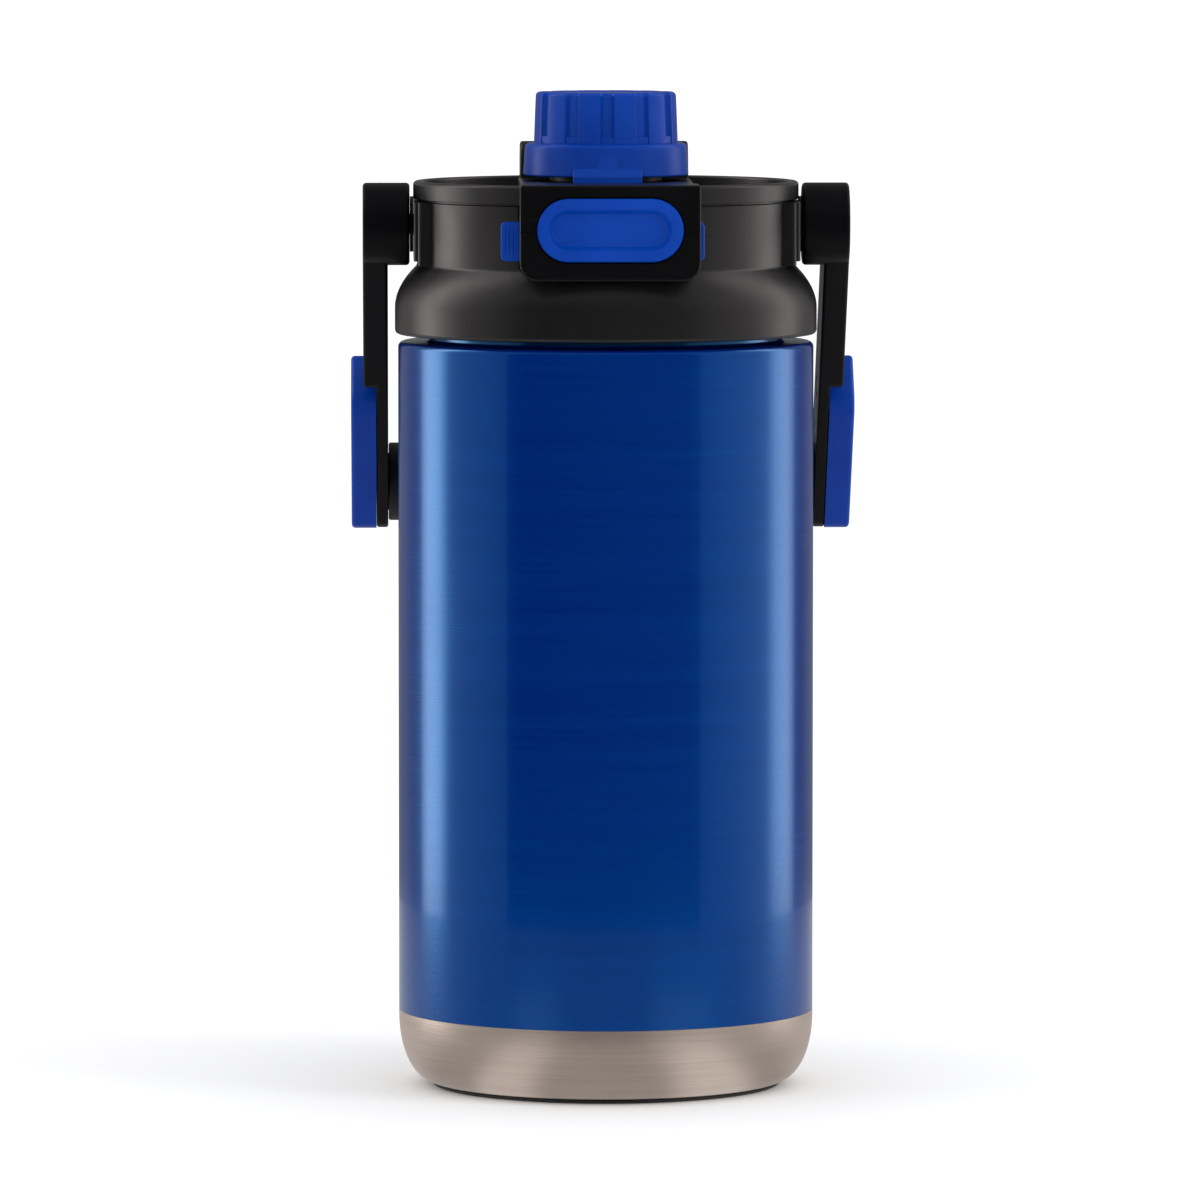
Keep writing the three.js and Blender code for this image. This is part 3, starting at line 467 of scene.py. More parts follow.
class Weave:
    """Adds and links shader nodes in one tree."""

    def __init__(self, tree: bpy.types.NodeTree) -> None:
        """Works in the given tree.

        Args:
            tree: the tree that gets the nodes.
        """
        self.tree = tree

    def node(self, kind: str, **settings: object) -> bpy.types.Node:
        """Adds a node.

        Args:
            kind: the node's type.
            settings: attributes, or inputs by name with spaces as underscores, or by index as i0, i1.

        Returns:
            The new node.
        """
        made = self.tree.nodes.new(kind)
        for key, value in settings.items():
            if hasattr(made, key):
                setattr(made, key, value)
                continue
            numbered = key[0] == "i" and key[1:].isdigit()
            self.feed(made.inputs[int(key[1:]) if numbered else key.replace("_", " ")], value)
        return made

    def feed(self, socket: bpy.types.NodeSocket, value: object) -> None:
        """Links a socket to another one, or sets its value.

        Args:
            socket: the input.
            value: an output socket, or what to set.
        """
        if isinstance(value, bpy.types.NodeSocket):
            self.tree.links.new(value, socket)
        else:
            socket.default_value = value

    def maths(self, operation: str, *values: object) -> bpy.types.NodeSocket:
        """A Math node's result.

        Args:
            operation: what it does.
            values: numbers or sockets, in order.

        Returns:
            The output socket.
        """
        made = self.node("ShaderNodeMath", operation=operation, **{f"i{k}": v for k, v in enumerate(values)})
        return made.outputs[0]

    def noise(
        self, vector: object, scale: object, detail: float = 2.0, rough: float = 0.5
    ) -> bpy.types.NodeSocket:
        """A noise texture's value from 0 to 1.

        Args:
            vector: where it is sampled.
            scale: how fine it is.
            detail: its layers.
            rough: how strong the finer layers are.

        Returns:
            The output socket.
        """
        made = self.node("ShaderNodeTexNoise", Vector=vector, Scale=scale, Detail=detail, Roughness=rough)
        return made.outputs["Fac"]

    def ramp(
        self, value: object, low: float, high: float, start: object = 0.0, end: object = 1.0
    ) -> bpy.types.NodeSocket:
        """Maps a value from one range to another, clamped.

        Args:
            value: what is mapped.
            low: the value that gives start.
            high: the value that gives end.
            start: the first result.
            end: the last result.

        Returns:
            The output socket.
        """
        made = self.node(
            "ShaderNodeMapRange", Value=value, From_Min=low, From_Max=high, To_Min=start, To_Max=end
        )
        return made.outputs["Result"]

    def mix(self, amount: object, first: object, second: object) -> bpy.types.NodeSocket:
        """Blends two colours.

        Args:
            amount: share of the second colour.
            first: the first colour.
            second: the second colour.

        Returns:
            The output socket.
        """
        made = self.node("ShaderNodeMix", data_type="RGBA", i0=amount, i6=first, i7=second)
        return made.outputs[2]


def group(
    name: str, inputs: dict[str, tuple[str, object]], outputs: Sequence[str]
) -> tuple[bpy.types.NodeTree, Weave, object, object]:
    """Starts a shader node group.

    Args:
        name: the group's name.
        inputs: each input's name with its kind and first value.
        outputs: names of the values it puts out.

    Returns:
        The tree, a Weave on it, and its input and output nodes.
    """
    tree = bpy.data.node_groups.new(name, "ShaderNodeTree")
    for label, (kind, value) in inputs.items():
        socket = tree.interface.new_socket(label, in_out="INPUT", socket_type=f"NodeSocket{kind}")
        if kind == "Float":
            socket.default_value = value
    for label in outputs:
        tree.interface.new_socket(label, in_out="OUTPUT", socket_type="NodeSocketFloat")
    return tree, Weave(tree), tree.nodes.new("NodeGroupInput"), tree.nodes.new("NodeGroupOutput")


class Effects:
    """The shader groups that several finishes share, each built once."""

    _made: dict[str, bpy.types.NodeTree] = {}

    @classmethod
    def get(cls, name: str) -> bpy.types.NodeTree:
        """Returns a group by name, building it the first time.

        Args:
            name: the group's name.

        Returns:
            The group.
        """
        if name not in cls._made:
            cls._made[name] = getattr(cls, f"_{name}")()
        return cls._made[name]

    @staticmethod
    def _moulded_grain() -> bpy.types.NodeTree:
        """Fine moulded texture: height, and slow patches where the gloss shifts."""
        tree, w, given, out = group(
            "moulded_grain", {"Vector": ("Vector", None), "Scale": ("Float", 2600.0)}, ("Height", "Patches")
        )
        vector, scale = given.outputs["Vector"], given.outputs["Scale"]
        fine = w.noise(vector, scale, 3.0, 0.6)
        pits = w.node(
            "ShaderNodeTexVoronoi", Vector=vector, Scale=w.maths("MULTIPLY", scale, 0.6)
        ).outputs["Distance"]
        w.tree.links.new(
            w.maths("ADD", w.maths("MULTIPLY", fine, 0.7), w.maths("MULTIPLY", pits, 0.5)),
            out.inputs["Height"]
        )
        w.tree.links.new(w.ramp(w.noise(vector, 55.0, 4.0, 0.55), 0.3, 0.7), out.inputs["Patches"])
        return tree

    @staticmethod
    def _brushed_lines() -> bpy.types.NodeTree:
        """Fine lines that run round the jug: single strokes and broader bands."""
        tree, w, given, out = group(
            "brushed_lines", {"Vector": ("Vector", None), "Density": ("Float", 5200.0)}, ("Strokes", "Bands")
        )
        parts = w.node("ShaderNodeSeparateXYZ", Vector=given.outputs["Vector"])
        density = given.outputs["Density"]
        for label, share, slow, detail in (("Strokes", 1.0, 22.0, 3.0), ("Bands", 0.07, 9.0, 2.0)):
            rise = w.maths("MULTIPLY", parts.outputs["Z"], w.maths("MULTIPLY", density, share))
            across = [w.maths("MULTIPLY", parts.outputs[axis], slow) for axis in ("X", "Y")]
            stretched = w.node("ShaderNodeCombineXYZ", X=across[0], Y=across[1], Z=rise).outputs[0]
            w.tree.links.new(w.noise(stretched, 1.0, detail, 0.6), out.inputs[label])
        return tree

    @staticmethod
    def _handling() -> bpy.types.NodeTree:
        """Traces of use: faint smudges, and hairline scratches that are few and short."""
        tree, w, given, out = group(
            "handling", {"Vector": ("Vector", None), "Scale": ("Float", 18.0)}, ("Smudges", "Scratches")
        )
        vector, scale = given.outputs["Vector"], given.outputs["Scale"]
        smear = w.ramp(w.noise(vector, scale, 5.0, 0.62), 0.48, 0.72)
        turned = w.node(
            "ShaderNodeMapping", Vector=vector, Rotation=(0.5, 0.35, 0.9), Scale=(14.0, 14.0, 620.0)
        ).outputs[0]
        lines = w.ramp(w.noise(turned, 1.6, 1.0, 0.4), 0.735, 0.765)
        w.tree.links.new(smear, out.inputs["Smudges"])
        w.tree.links.new(w.maths("MULTIPLY", lines, smear), out.inputs["Scratches"])
        return tree


# ---------------------------------------------------------------- finishes


@dataclass(frozen=True)
class Finish:
    """A surface finish, made into one material that all its pieces share."""

    name: str
    colour: tuple[float, float, float]
    shade: tuple[float, float, float]
    roughness: float = 0.4

    def material(self) -> bpy.types.Material:
        """Returns the material, built the first time."""
        found = bpy.data.materials.get(self.name)
        if found:
            return found
        made = bpy.data.materials.new(self.name)
        made.use_nodes = True
        tree = made.node_tree
        tree.nodes.clear()
        weave = Weave(tree)
        shader = weave.node("ShaderNodeBsdfPrincipled")
        output = weave.node("ShaderNodeOutputMaterial")
        tree.links.new(shader.outputs[0], output.inputs["Surface"])
        vector = weave.node("ShaderNodeTexCoord").outputs["Object"]
        self.dress(weave, shader, vector)
        return made

    def dress(self, w: Weave, shader: bpy.types.Node, vector: bpy.types.NodeSocket) -> None:
        """Feeds the shader. Each kind of finish does it in its own way.

        Args:
            w: the material's tree.
            shader: the shader to feed.
            vector: object coordinates.
        """
        raise NotImplementedError

    def link(self, w: Weave, shader: bpy.types.Node, **sockets: object) -> None:
        """Links or sets shader inputs, named with underscores for spaces.

        Args:
            w: the material's tree.
            shader: the shader.
            sockets: values or output sockets.
        """
        for key, value in sockets.items():
            w.feed(shader.inputs[key.replace("_", " ")], value)

    @staticmethod
    def rgba(colour: tuple[float, float, float]) -> tuple[float, float, float, float]:
        """A colour with full alpha.

        Args:
            colour: red, green and blue.

        Returns:
            The colour and alpha.
        """
        return (*colour, 1.0)

    @staticmethod
    def use(w: Weave, name: str, **inputs: object) -> bpy.types.Node:
        """Places a shared group with its own values.

        Args:
            w: the material's tree.
            name: the group.
            inputs: values or output sockets.

        Returns:
            The group's node.
        """
        made = w.tree.nodes.new("ShaderNodeGroup")
        made.node_tree = Effects.get(name)
        for key, value in inputs.items():
            w.feed(made.inputs[key], value)
        return made


@dataclass(frozen=True)
class Lacquer(Finish):
    """Tinted clear lacquer over brushed steel."""

    coat: float = 0.28
    metal: float = 0.2
    relief: float = 0.06
    ior: float = 2.25
    tint: tuple[float, float, float] = (0.0, 0.5, 0.95)

    def dress(self, w: Weave, shader: bpy.types.Node, vector: bpy.types.NodeSocket) -> None:
        """Brushed lines under a glossy coat, with faint smudges on top.

        Args:
            w: the material's tree.
            shader: the shader to feed.
            vector: object coordinates.
        """
        lines = self.use(w, "brushed_lines", Vector=vector, Density=4200.0)
        worn = self.use(w, "handling", Vector=vector, Scale=14.0)
        strokes, bands = lines.outputs["Strokes"], lines.outputs["Bands"]
        tone = w.maths("MULTIPLY_ADD", strokes, 0.55, w.maths("MULTIPLY", bands, 0.45))
        colour = w.mix(w.ramp(tone, 0.34, 0.66), self.rgba(self.shade), self.rgba(self.colour))
        rough = w.maths("MULTIPLY_ADD", strokes, 0.16, self.roughness - 0.08)
        rough = w.maths("MULTIPLY_ADD", worn.outputs["Smudges"], 0.05, rough)
        bump = w.node("ShaderNodeBump", Strength=self.relief, Distance=0.0002, Height=strokes)
        self.link(w, shader, Base_Color=colour, Roughness=rough, Metallic=self.metal, Normal=bump.outputs[0])
        self.link(w, shader, IOR=self.ior, Specular_Tint=self.rgba(self.tint))
        self.link(w, shader, Coat_Weight=self.coat, Coat_Roughness=0.05)


@dataclass(frozen=True)
class BrushedSteel(Finish):
    """Bare steel with lines brushed round it."""

    relief: float = 0.22
    density: float = 5200.0

    def dress(self, w: Weave, shader: bpy.types.Node, vector: bpy.types.NodeSocket) -> None:
        """Strokes in colour, gloss and relief, with a few scratches.

        Args:
            w: the material's tree.
            shader: the shader to feed.
            vector: object coordinates.
        """
        lines = self.use(w, "brushed_lines", Vector=vector, Density=self.density)
        worn = self.use(w, "handling", Vector=vector, Scale=30.0)
        strokes = lines.outputs["Strokes"]
        tone = w.maths("MULTIPLY_ADD", strokes, 0.6, w.maths("MULTIPLY", lines.outputs["Bands"], 0.4))
        colour = w.mix(w.ramp(tone, 0.3, 0.7), self.rgba(self.shade), self.rgba(self.colour))
        rough = w.maths("MULTIPLY_ADD", strokes, 0.2, self.roughness - 0.1)
        rough = w.maths("MULTIPLY_ADD", worn.outputs["Smudges"], 0.08, rough)
        height = w.maths("SUBTRACT", strokes, w.maths("MULTIPLY", worn.outputs["Scratches"], 0.8))
        bump = w.node("ShaderNodeBump", Strength=self.relief, Distance=0.0002, Height=height)
        self.link(w, shader, Base_Color=colour, Roughness=rough, Metallic=1.0, Normal=bump.outputs[0])


@dataclass(frozen=True)
class Moulded(Finish):
    """Moulded plastic, rubber or silicone with a fine grain."""

    grain: float = 2600.0
    relief: float = 0.12
    sheen: float = 0.0
    specular: float = 0.5
    translucent: float = 0.0

    def dress(self, w: Weave, shader: bpy.types.Node, vector: bpy.types.NodeSocket) -> None:
        """Grain in the relief, slow patches in the gloss, and light handling marks.

        Args:
            w: the material's tree.
            shader: the shader to feed.
            vector: object coordinates.
        """
        texture = self.use(w, "moulded_grain", Vector=vector, Scale=self.grain)
        worn = self.use(w, "handling", Vector=vector, Scale=26.0)
        patches = texture.outputs["Patches"]
        colour = w.mix(patches, self.rgba(self.shade), self.rgba(self.colour))
        dulled = tuple(min(1.0, c * 1.5 + 0.012) for c in self.colour)
        colour = w.mix(w.maths("MULTIPLY", worn.outputs["Scratches"], 0.5), colour, self.rgba(dulled))
        rough = w.maths("MULTIPLY_ADD", patches, 0.09, self.roughness - 0.045)
        rough = w.maths("MULTIPLY_ADD", worn.outputs["Smudges"], -0.06, rough)
        bump = w.node(
            "ShaderNodeBump", Strength=self.relief, Distance=0.0002, Height=texture.outputs["Height"]
        )
        self.link(w, shader, Base_Color=colour, Roughness=rough, Metallic=0.0, Normal=bump.outputs[0])
        self.link(w, shader, Specular_IOR_Level=self.specular, Sheen_Weight=self.sheen)
        self.link(w, shader, Subsurface_Weight=self.translucent, Subsurface_Scale=0.004)


PAINT = Lacquer("lacquered_blue", (0.0, 0.016, 0.19), (0.0, 0.009, 0.15), 0.22)
BAND = BrushedSteel("brushed_base", (0.66, 0.575, 0.515), (0.5, 0.43, 0.385), 0.32)
LINER = BrushedSteel("brushed_liner", (0.62, 0.61, 0.6), (0.48, 0.47, 0.46), 0.34, density=3600.0)
HARDWARE = BrushedSteel(
    "machined_steel", (0.58, 0.58, 0.59), (0.42, 0.42, 0.43), 0.26, relief=0.1, density=9000.0
)
CHARCOAL = Moulded(
    "satin_charcoal", (0.0075, 0.007, 0.0075), (0.006, 0.0056, 0.006), 0.36, grain=3400.0, relief=0.1,
    specular=0.46
)
BLACK = Moulded(
    "moulded_black", (0.0026, 0.0027, 0.0038), (0.0018, 0.0019, 0.0027), 0.36, grain=3000.0, relief=0.12,
    specular=0.24
)
BLUE = Moulded(
    "moulded_blue", (0.0, 0.041, 0.32), (0.0, 0.032, 0.27), 0.32, grain=2600.0, relief=0.07, specular=0.12
)
GRIP = Moulded(
    "soft_grip", (0.009, 0.009, 0.010), (0.006, 0.006, 0.007), 0.72, grain=1500.0, relief=0.35, sheen=0.06,
    specular=0.3
)
STRAP = Moulded(
    "satin_black", (0.0026, 0.0027, 0.0038), (0.0018, 0.0019, 0.0027), 0.4, grain=3000.0, relief=0.12,
    specular=0.1
)
PAD = Moulded("pad_rubber", (0.022, 0.022, 0.023), (0.014, 0.014, 0.015), 0.8, grain=1300.0, relief=0.3)
SILICONE = Moulded(
    "seal_silicone", (0.62, 0.61, 0.58), (0.52, 0.51, 0.48), 0.55, grain=1800.0, relief=0.1, translucent=0.2
)
FOAM = Moulded("cell_foam", (0.78, 0.75, 0.66), (0.6, 0.57, 0.48), 0.95, grain=900.0, relief=0.6)


# ---------------------------------------------------------------- the jug


@dataclass
class Vessel:
    """The painted double wall, its steel base and the pad under it."""

    top: float = 212.0
    band_top: float = 21.6
    wall: float = 0.8
    neck: float = 50.4
    foot: float = 50.4
    foot_rise: float = 1.3
    base_rise: float = 18.7
    recess: float = 47.0
    shell: Extent = box_of("outer_shell")
    pad: Extent = box_of("foot_pad")

    def body(self) -> Form:
        """Returns the painted wall with its round shoulder edge and steel neck."""
        radius, lip, inside = self.shell.radius, self.shell.high.z, self.shell.radius - self.wall
        throat, under = self.neck - self.wall, self.top - self.wall
        wall = [(inside, self.band_top), (radius, self.band_top, 0.15), (radius, self.top, 1.6)]
        neck = [(self.neck, self.top, 0.9), (self.neck, lip, 0.3), (throat, lip), (throat, under)]
        return Form.turned(rounded(wall + neck + [(inside, under, 0.7)]))

    def base(self) -> Form:
        """Returns the bare steel base with its oval corner and foot ring."""
        radius, wall = self.shell.radius, self.wall
        turn_in = radius - self.foot + 0.8
        centre = (radius - turn_in, self.foot_rise + self.base_rise)
        outside = arc(centre, (turn_in, self.base_rise), -80, 0, 14)
        inside = arc(centre, (turn_in - wall, self.base_rise - wall), 0, -72, 10)
        floor = self.foot_rise + 2.0
        edge = [(radius, self.band_top), (radius - wall, self.band_top)]
        ground = [(self.recess, self.foot_rise, 0.4), (self.foot, self.foot_rise, 0.5)]
        foot = rounded([(self.recess, floor), *ground, outside[0]])
        ring = [p for p in foot if p != outside[0]]
        lining = [(self.recess + wall, floor + wall), (0, floor + wall)]
        return Form.turned([(0, floor)] + ring + outside + edge + inside + lining)

    def standing_pad(self) -> Form:
        """Returns the rubber disc the jug stands on, with a shallow ring groove; its dark rim under the steel foot
        is also painted shade standing in for the contact shadow.
        """
        radius, fit, top = self.pad.radius, self.recess - 0.3, self.pad.high.z
        groove = [
            (radius - 11, 0, 0.2), (radius - 11, 0.5, 0.2), (radius - 8, 0.5, 0.2), (radius - 8, 0, 0.2)
        ]
        # The dark rim is sized to show as a thin dark line under the steel foot: partly a real rubber pad, partly
        # painted shade in place of the contact shadow.
        rim = [(radius, 0, 0.4), (radius, 1.0, 0.3), (fit, 1.0), (fit, top)]
        return Form.turned(rounded([(0, 0)] + groove + rim + [(0, top)]))

    def build(self) -> None:
        """Makes and dresses the vessel's outside."""
        place(self.body().finished("body_shell"), "bottle", "body_paint", PAINT, "outer_shell")
        place(self.base().finished("steel_base"), "bottle", "base_steel", BAND, "base_cup")
        place(self.standing_pad().finished("standing_pad"), "bottle", "rubber_black", PAD, "foot_pad")


@dataclass
class Lid:
    """The collar, the deck with its bridge and hinge ears, and the spout."""

    neck: float = 53.6
    wall: float = 2.4
    skirt_wall: float = 2.7
    shoulder_start: float = 7.45
    shoulder_rise: float = 11.65
    shoulder_bow: float = 11.7
    pad_half: float = 18.5
    pad_step: float = 20.2
    pad_bottom: float = 234.0
    bridge_half: float = 24.5
    floor_top: float = 252.0
    floor: float = 2.0
    ear_inner: float = 12.0
    ear_outer: float = 24.1
    pin_hole: float = 1.8
    pivot_hole: float = 3.2
    passage_half: float = 12.9
    knuckle: float = 5.0
    rim_over: float = 1.1
    rim_wall: float = 2.7
    flange_radius: float = 19.0
    flange_thick: float = 2.5
    below: float = 240.0
    above: float = 290.0
    spout_outer: float = 15.9
    spout_bore: float = 13.5
    housing_corner: float = 5.2
    collar_box: Extent = box_of("lid_collar")
    deck_box: Extent = box_of("lid_deck")
    spout_box: Extent = box_of("spout")
    housing_box: Extent = box_of("latch_housing")
    washer_box: Extent = box_of("pivot_washer_right")

    def pocket(self, grow: float) -> Form:
        """The space round the latch housing, grown by a clearance.

        Args:
            grow: the clearance.

        Returns:
            The space as a form, open in front and above.
        """
        low, high = self.housing_box.low, self.housing_box.high
        left, right, bottom, top = low.x - grow, high.x + grow, low.z - grow, high.z + 20
        corner = self.housing_corner + grow
        outline = rounded([(left, top), (left, bottom, corner), (right, bottom, corner), (right, top)], 8)
        return Form.plate(outline, Plane.FRONT, -high.y - grow, 20 - low.y)

    def collar(self) -> Form:
        """Returns the skirt, shoulder and neck with the two pivot pads and the pocket for the latch."""
        bottom, top, radius = self.collar_box.low.z, self.collar_box.high.z, self.collar_box.radius
        start = bottom + self.shoulder_start
        steps = 14
        rises = [self.shoulder_rise * k / steps for k in range(steps + 1)]
        shoulder = [(radius - h * h / (2 * self.shoulder_bow), start + h) for h in rises]
        join = shoulder[-1][1] + (shoulder[-1][0] - self.neck)
        inner = self.neck - self.wall
        skirt = [(radius - self.skirt_wall, bottom, 0.3), (radius, bottom, 1.3)]
        upper = [(self.neck, join, 1.5), (self.neck, top, 0.35), (inner, top), (inner, start + 10)]
        form = Form.turned(rounded(skirt + shoulder + upper + [(radius - self.skirt_wall, start)]))
        reach = self.washer_box.low.x - 0.3
        for side in (-1, 1):
            form = form.joined(self.pivot_pad(side, reach, top))
        axle = joint_place("handle_swing").z
        hole = Form.rod(self.pivot_hole, (-70, 0, axle), (70, 0, axle), SMALL)
        hollow = Form.rod(inner, (0, 0, self.pad_bottom - 8), (0, 0, top + 5), LARGE)
        return form.cut(hollow, self.pocket(0.3), hole)

    def pivot_pad(self, side: int, reach: float, top: float) -> Form:
        """A flat pad for one side, with a lower step at each of its upright edges.

        Args:
            side: +1 or -1 along X.
            reach: how far its face stands from the axis.
            top: its top height.

        Returns:
            The pad, running into the collar.
        """
        inner = side * (reach - 9)
        low_step, high_step = (
            rounded([(inner, -half), (side * face, -half, edge), (side * face, half, edge), (inner, half)])
            for half, face, edge in ((self.pad_step, reach - 1.2, 1.4), (self.pad_half, reach, 1.2))
        )
        base = Form.plate(low_step, Plane.LEVEL, self.pad_bottom, top)
        face = Form.plate(high_step, Plane.LEVEL, self.pad_bottom + 1.2, top)
        low = self.pad_bottom + 1.3
        return base.joined(face).softened(0.5, lambda e: max(v.co.z for v in e.verts) < low, 3)

    def deck(self) -> Form:
        """Returns the rim, the sunk floor, the bridge across it and the hinge ears."""
        radius, top = self.neck + self.rim_over, self.housing_box.high.z - 0.5
        rim_bottom, inner = self.collar_box.high.z + 0.08, self.neck - self.wall - 0.3
        bottom, step, dish_radius = self.floor_top - self.floor, self.neck - 0.3, radius - self.rim_wall
        under = [
            (0, bottom), (inner, bottom), (inner, rim_bottom), (step, rim_bottom), (step, rim_bottom + 0.5)
        ]
        rim = [(radius, rim_bottom + 0.5, 0.25), (radius, top, 1.1), (dish_radius, top, 0.7)]
        dish = Form.turned(rounded(under + rim + [(dish_radius, self.floor_top, 1.5), (0, self.floor_top)]))
        hinge = joint_place("cap_flip")
        back = hinge.y + self.knuckle + 0.6
        bridge = Form.block(
            (-self.bridge_half, self.housing_box.low.y + 4, self.floor_top - 1.5),
            (self.bridge_half, back, top + 0.1)
        )
        bridge = bridge.softened(0.9, lambda e: min(v.co.z for v in e.verts) > top, 4)
        form = dish.joined(bridge)
        for side in (-1, 1):
            form = form.joined(self.hinge_ear(side, hinge, top))
        tongue = Extent.of("latch_catch")
        pin = Form.rod(self.pin_hole, (-40, hinge.y, hinge.z), (40, hinge.y, hinge.z), SMALL)
        bore = Form.rod(self.spout_outer + 0.3, (0, 0, self.below), (0, 0, self.above), LARGE)
        slot = Form.block((-10.15, tongue.high.y - 7.8, 240), (10.15, tongue.high.y - 0.2, 270))
        well = Form.block(
            (-self.passage_half, self.housing_box.high.y - 1, 240),
            (self.passage_half, tongue.high.y + 2.9, tongue.high.z + 0.4),
        )
        return form.cut(
            self.pocket(0.12), pin, bore,
            slot.softened(0.4, lambda e: abs(e.verts[0].co.z - e.verts[1].co.z) > 1, 3), well
        )

    def hinge_ear(self, side: int, hinge: Vector, top: float) -> Form:
        """One of the two ears that hold the cap's pin.

        Args:
            side: +1 or -1 along X.
            hinge: the hinge's place.
            top: height of the bridge.

        Returns:
            The ear.
        """
        reach = self.deck_box.high.z - hinge.z
        front, back = hinge.y - reach, hinge.y + reach
        outline = arc((hinge.y, hinge.z), (reach, reach), 0, 180, 20) + [(front, top - 2), (back, top - 2)]
        inner, outer = sorted((side * self.ear_inner, side * self.ear_outer))
        ear = Form.plate(outline, Plane.SIDE, inner, outer)
        return ear.softened(
            0.9, lambda e: Form.facing_x(e) and max(v.co.z for v in e.verts) > top - 1, 3
        )

    def spout(self) -> Form:
        """Returns the drinking spout with its rolled mouth."""
        low, high = self.spout_box.low.z, self.spout_box.high.z
        flange = self.floor_top - self.floor - 0.3
        outer, bore = self.spout_outer, self.spout_bore
        under, wide = flange - self.flange_thick, self.flange_radius
        root = [(bore, low), (outer, low), (outer, under), (wide, under), (wide, flange), (outer, flange)]
        lip = outer + 0.5
        bead = [(outer, high - 3), (lip, high - 2.4, 0.3), (lip, high, 1.2), (bore, high, 0.8)]
        return Form.turned(rounded(root + bead), MEDIUM * 2)

    def build(self) -> None:
        """Makes and dresses the lid's fixed pieces."""
        place(self.collar().finished("collar"), "lid", "lid_charcoal", CHARCOAL, "lid_collar")
        place(self.deck().finished("deck"), "lid", "lid_black", CHARCOAL, "lid_deck")
        place(self.spout().finished("drinking_spout"), "lid", "lid_black", BLACK, "spout")


@dataclass
class Latch:
    """The housing on the front, its push button and the lock slider behind it."""

    corner: float = 5.2
    wall: float = 2.2
    button_z: float = 245.5
    gap: float = 0.4
    rim: float = 2.9
    dish: float = 1.8
    seam: float = 0.18
    passage_half: float = 12.9
    housing: Extent = box_of("latch_housing")
    button: Extent = box_of("push_button")
    slider: Extent = box_of("lock_slider")
    catch: Extent = box_of("latch_catch")

    def case(self) -> Form:
        """Returns the hollow housing with its stadium opening, slider slots and parting line."""
        low, high = self.housing.low, self.housing.high
        upper, lower = [(high.x, high.z, 0.8), (low.x, high.z, 0.8)], self.corner
        outline = rounded([upper[1], (low.x, low.z, lower), (high.x, low.z, lower), upper[0]], 8)
        case = Form.plate(outline, Plane.FRONT, -high.y, -low.y)
        case = case.softened(1.1, lambda e: max(v.co.y for v in e.verts) < low.y + 0.01, 4)
        inside = Form.block(
            (low.x + self.wall, low.y + self.wall, low.z + self.wall),
            (high.x - self.wall, high.y - self.wall, high.z - self.wall)
        )
        width, height = self.button.high.x - self.button.low.x, self.button.high.z - self.button.low.z
        mouth = stadium(width + 2 * self.gap, height + 2 * self.gap, (0, self.button_z))
        opening = Form.plate(mouth, Plane.FRONT, -low.y - self.wall - 1, -low.y + 1)
        passage = Form.block(
            (-self.passage_half, high.y - 4, self.catch.low.z - 0.5),
            (self.passage_half, high.y + 1, self.catch.high.z + 0.4),
        )
        slots = Form.block(
            (low.x - 1, self.slider.low.y - self.gap, self.slider.low.z - self.gap),
            (high.x + 1, self.slider.high.y + self.gap, self.slider.high.z + self.gap),
        )
        line = Form.block(
            (low.x - 1, low.y - 1, self.button_z - 0.6),
            (high.x + 1, high.y + 1, self.button_z - 0.6 + self.seam)
        )
        core = Form.block((low.x + 0.22, low.y + 0.22, 0), (high.x - 0.22, high.y + 2, 300))
        return case.cut(inside, opening, passage, slots, line.cut(core))

    def push(self) -> Form:
        """Returns the button: a soft rim round a scooped dish."""
        low, high = self.button.low, self.button.high
        outline = stadium(high.x - low.x, high.z - low.z, (0, self.button_z))
        form = Form.plate(outline, Plane.FRONT, -high.y, -low.y)
        form = form.softened(0.9, lambda e: max(v.co.y for v in e.verts) < low.y + 0.01, 4)
        face = min((f for f in form.bm.faces if len(f.verts) > 30), key=lambda f: f.calc_center_median().y)
        for inset, share in (
            (self.rim - 0.9, 0.0), (0.3, 0.1), (0.5, 0.35), (0.5, 0.35), (0.3, 0.15), (0.4, 0.05)
        ):
            bmesh.ops.inset_region(form.bm, faces=[face], thickness=inset, use_even_offset=True)
            bmesh.ops.translate(form.bm, verts=face.verts, vec=(0, share * self.dish, 0))
        return form

    def lock(self) -> Form:
        """Returns the lock slider with thumb ribs on its left end."""
        low, high = self.slider.low, self.slider.high
        outline = rounded(
            [(low.x, low.z, 1.5), (high.x, low.z, 1.5), (high.x, high.z, 1.5), (low.x, high.z, 1.5)], 6
        )
        form = Form.plate(outline, Plane.FRONT, -high.y, -low.y)
        form = form.softened(0.6, lambda e: abs(e.verts[0].co.y - e.verts[1].co.y) < 1e-4, 3)
        ribs = [low.x + 1.5 + 1.1 * k for k in range(3)]
        cuts = [Form.rod(0.3, (x, low.y - 0.14, low.z + 2), (x, low.y - 0.14, high.z - 2), 16) for x in ribs]
        return form.cut(*cuts)

    def build(self) -> None:
        """Makes and dresses the latch."""
        place(self.case().finished("latch_case"), "lid", "lid_black", BLACK, "latch_housing")
        place(self.push().finished("latch_button"), "button", "plastic_blue", BLUE, "push_button")
        place(self.lock().finished("lock_bar"), "lock", "plastic_blue", BLUE, "lock_slider")


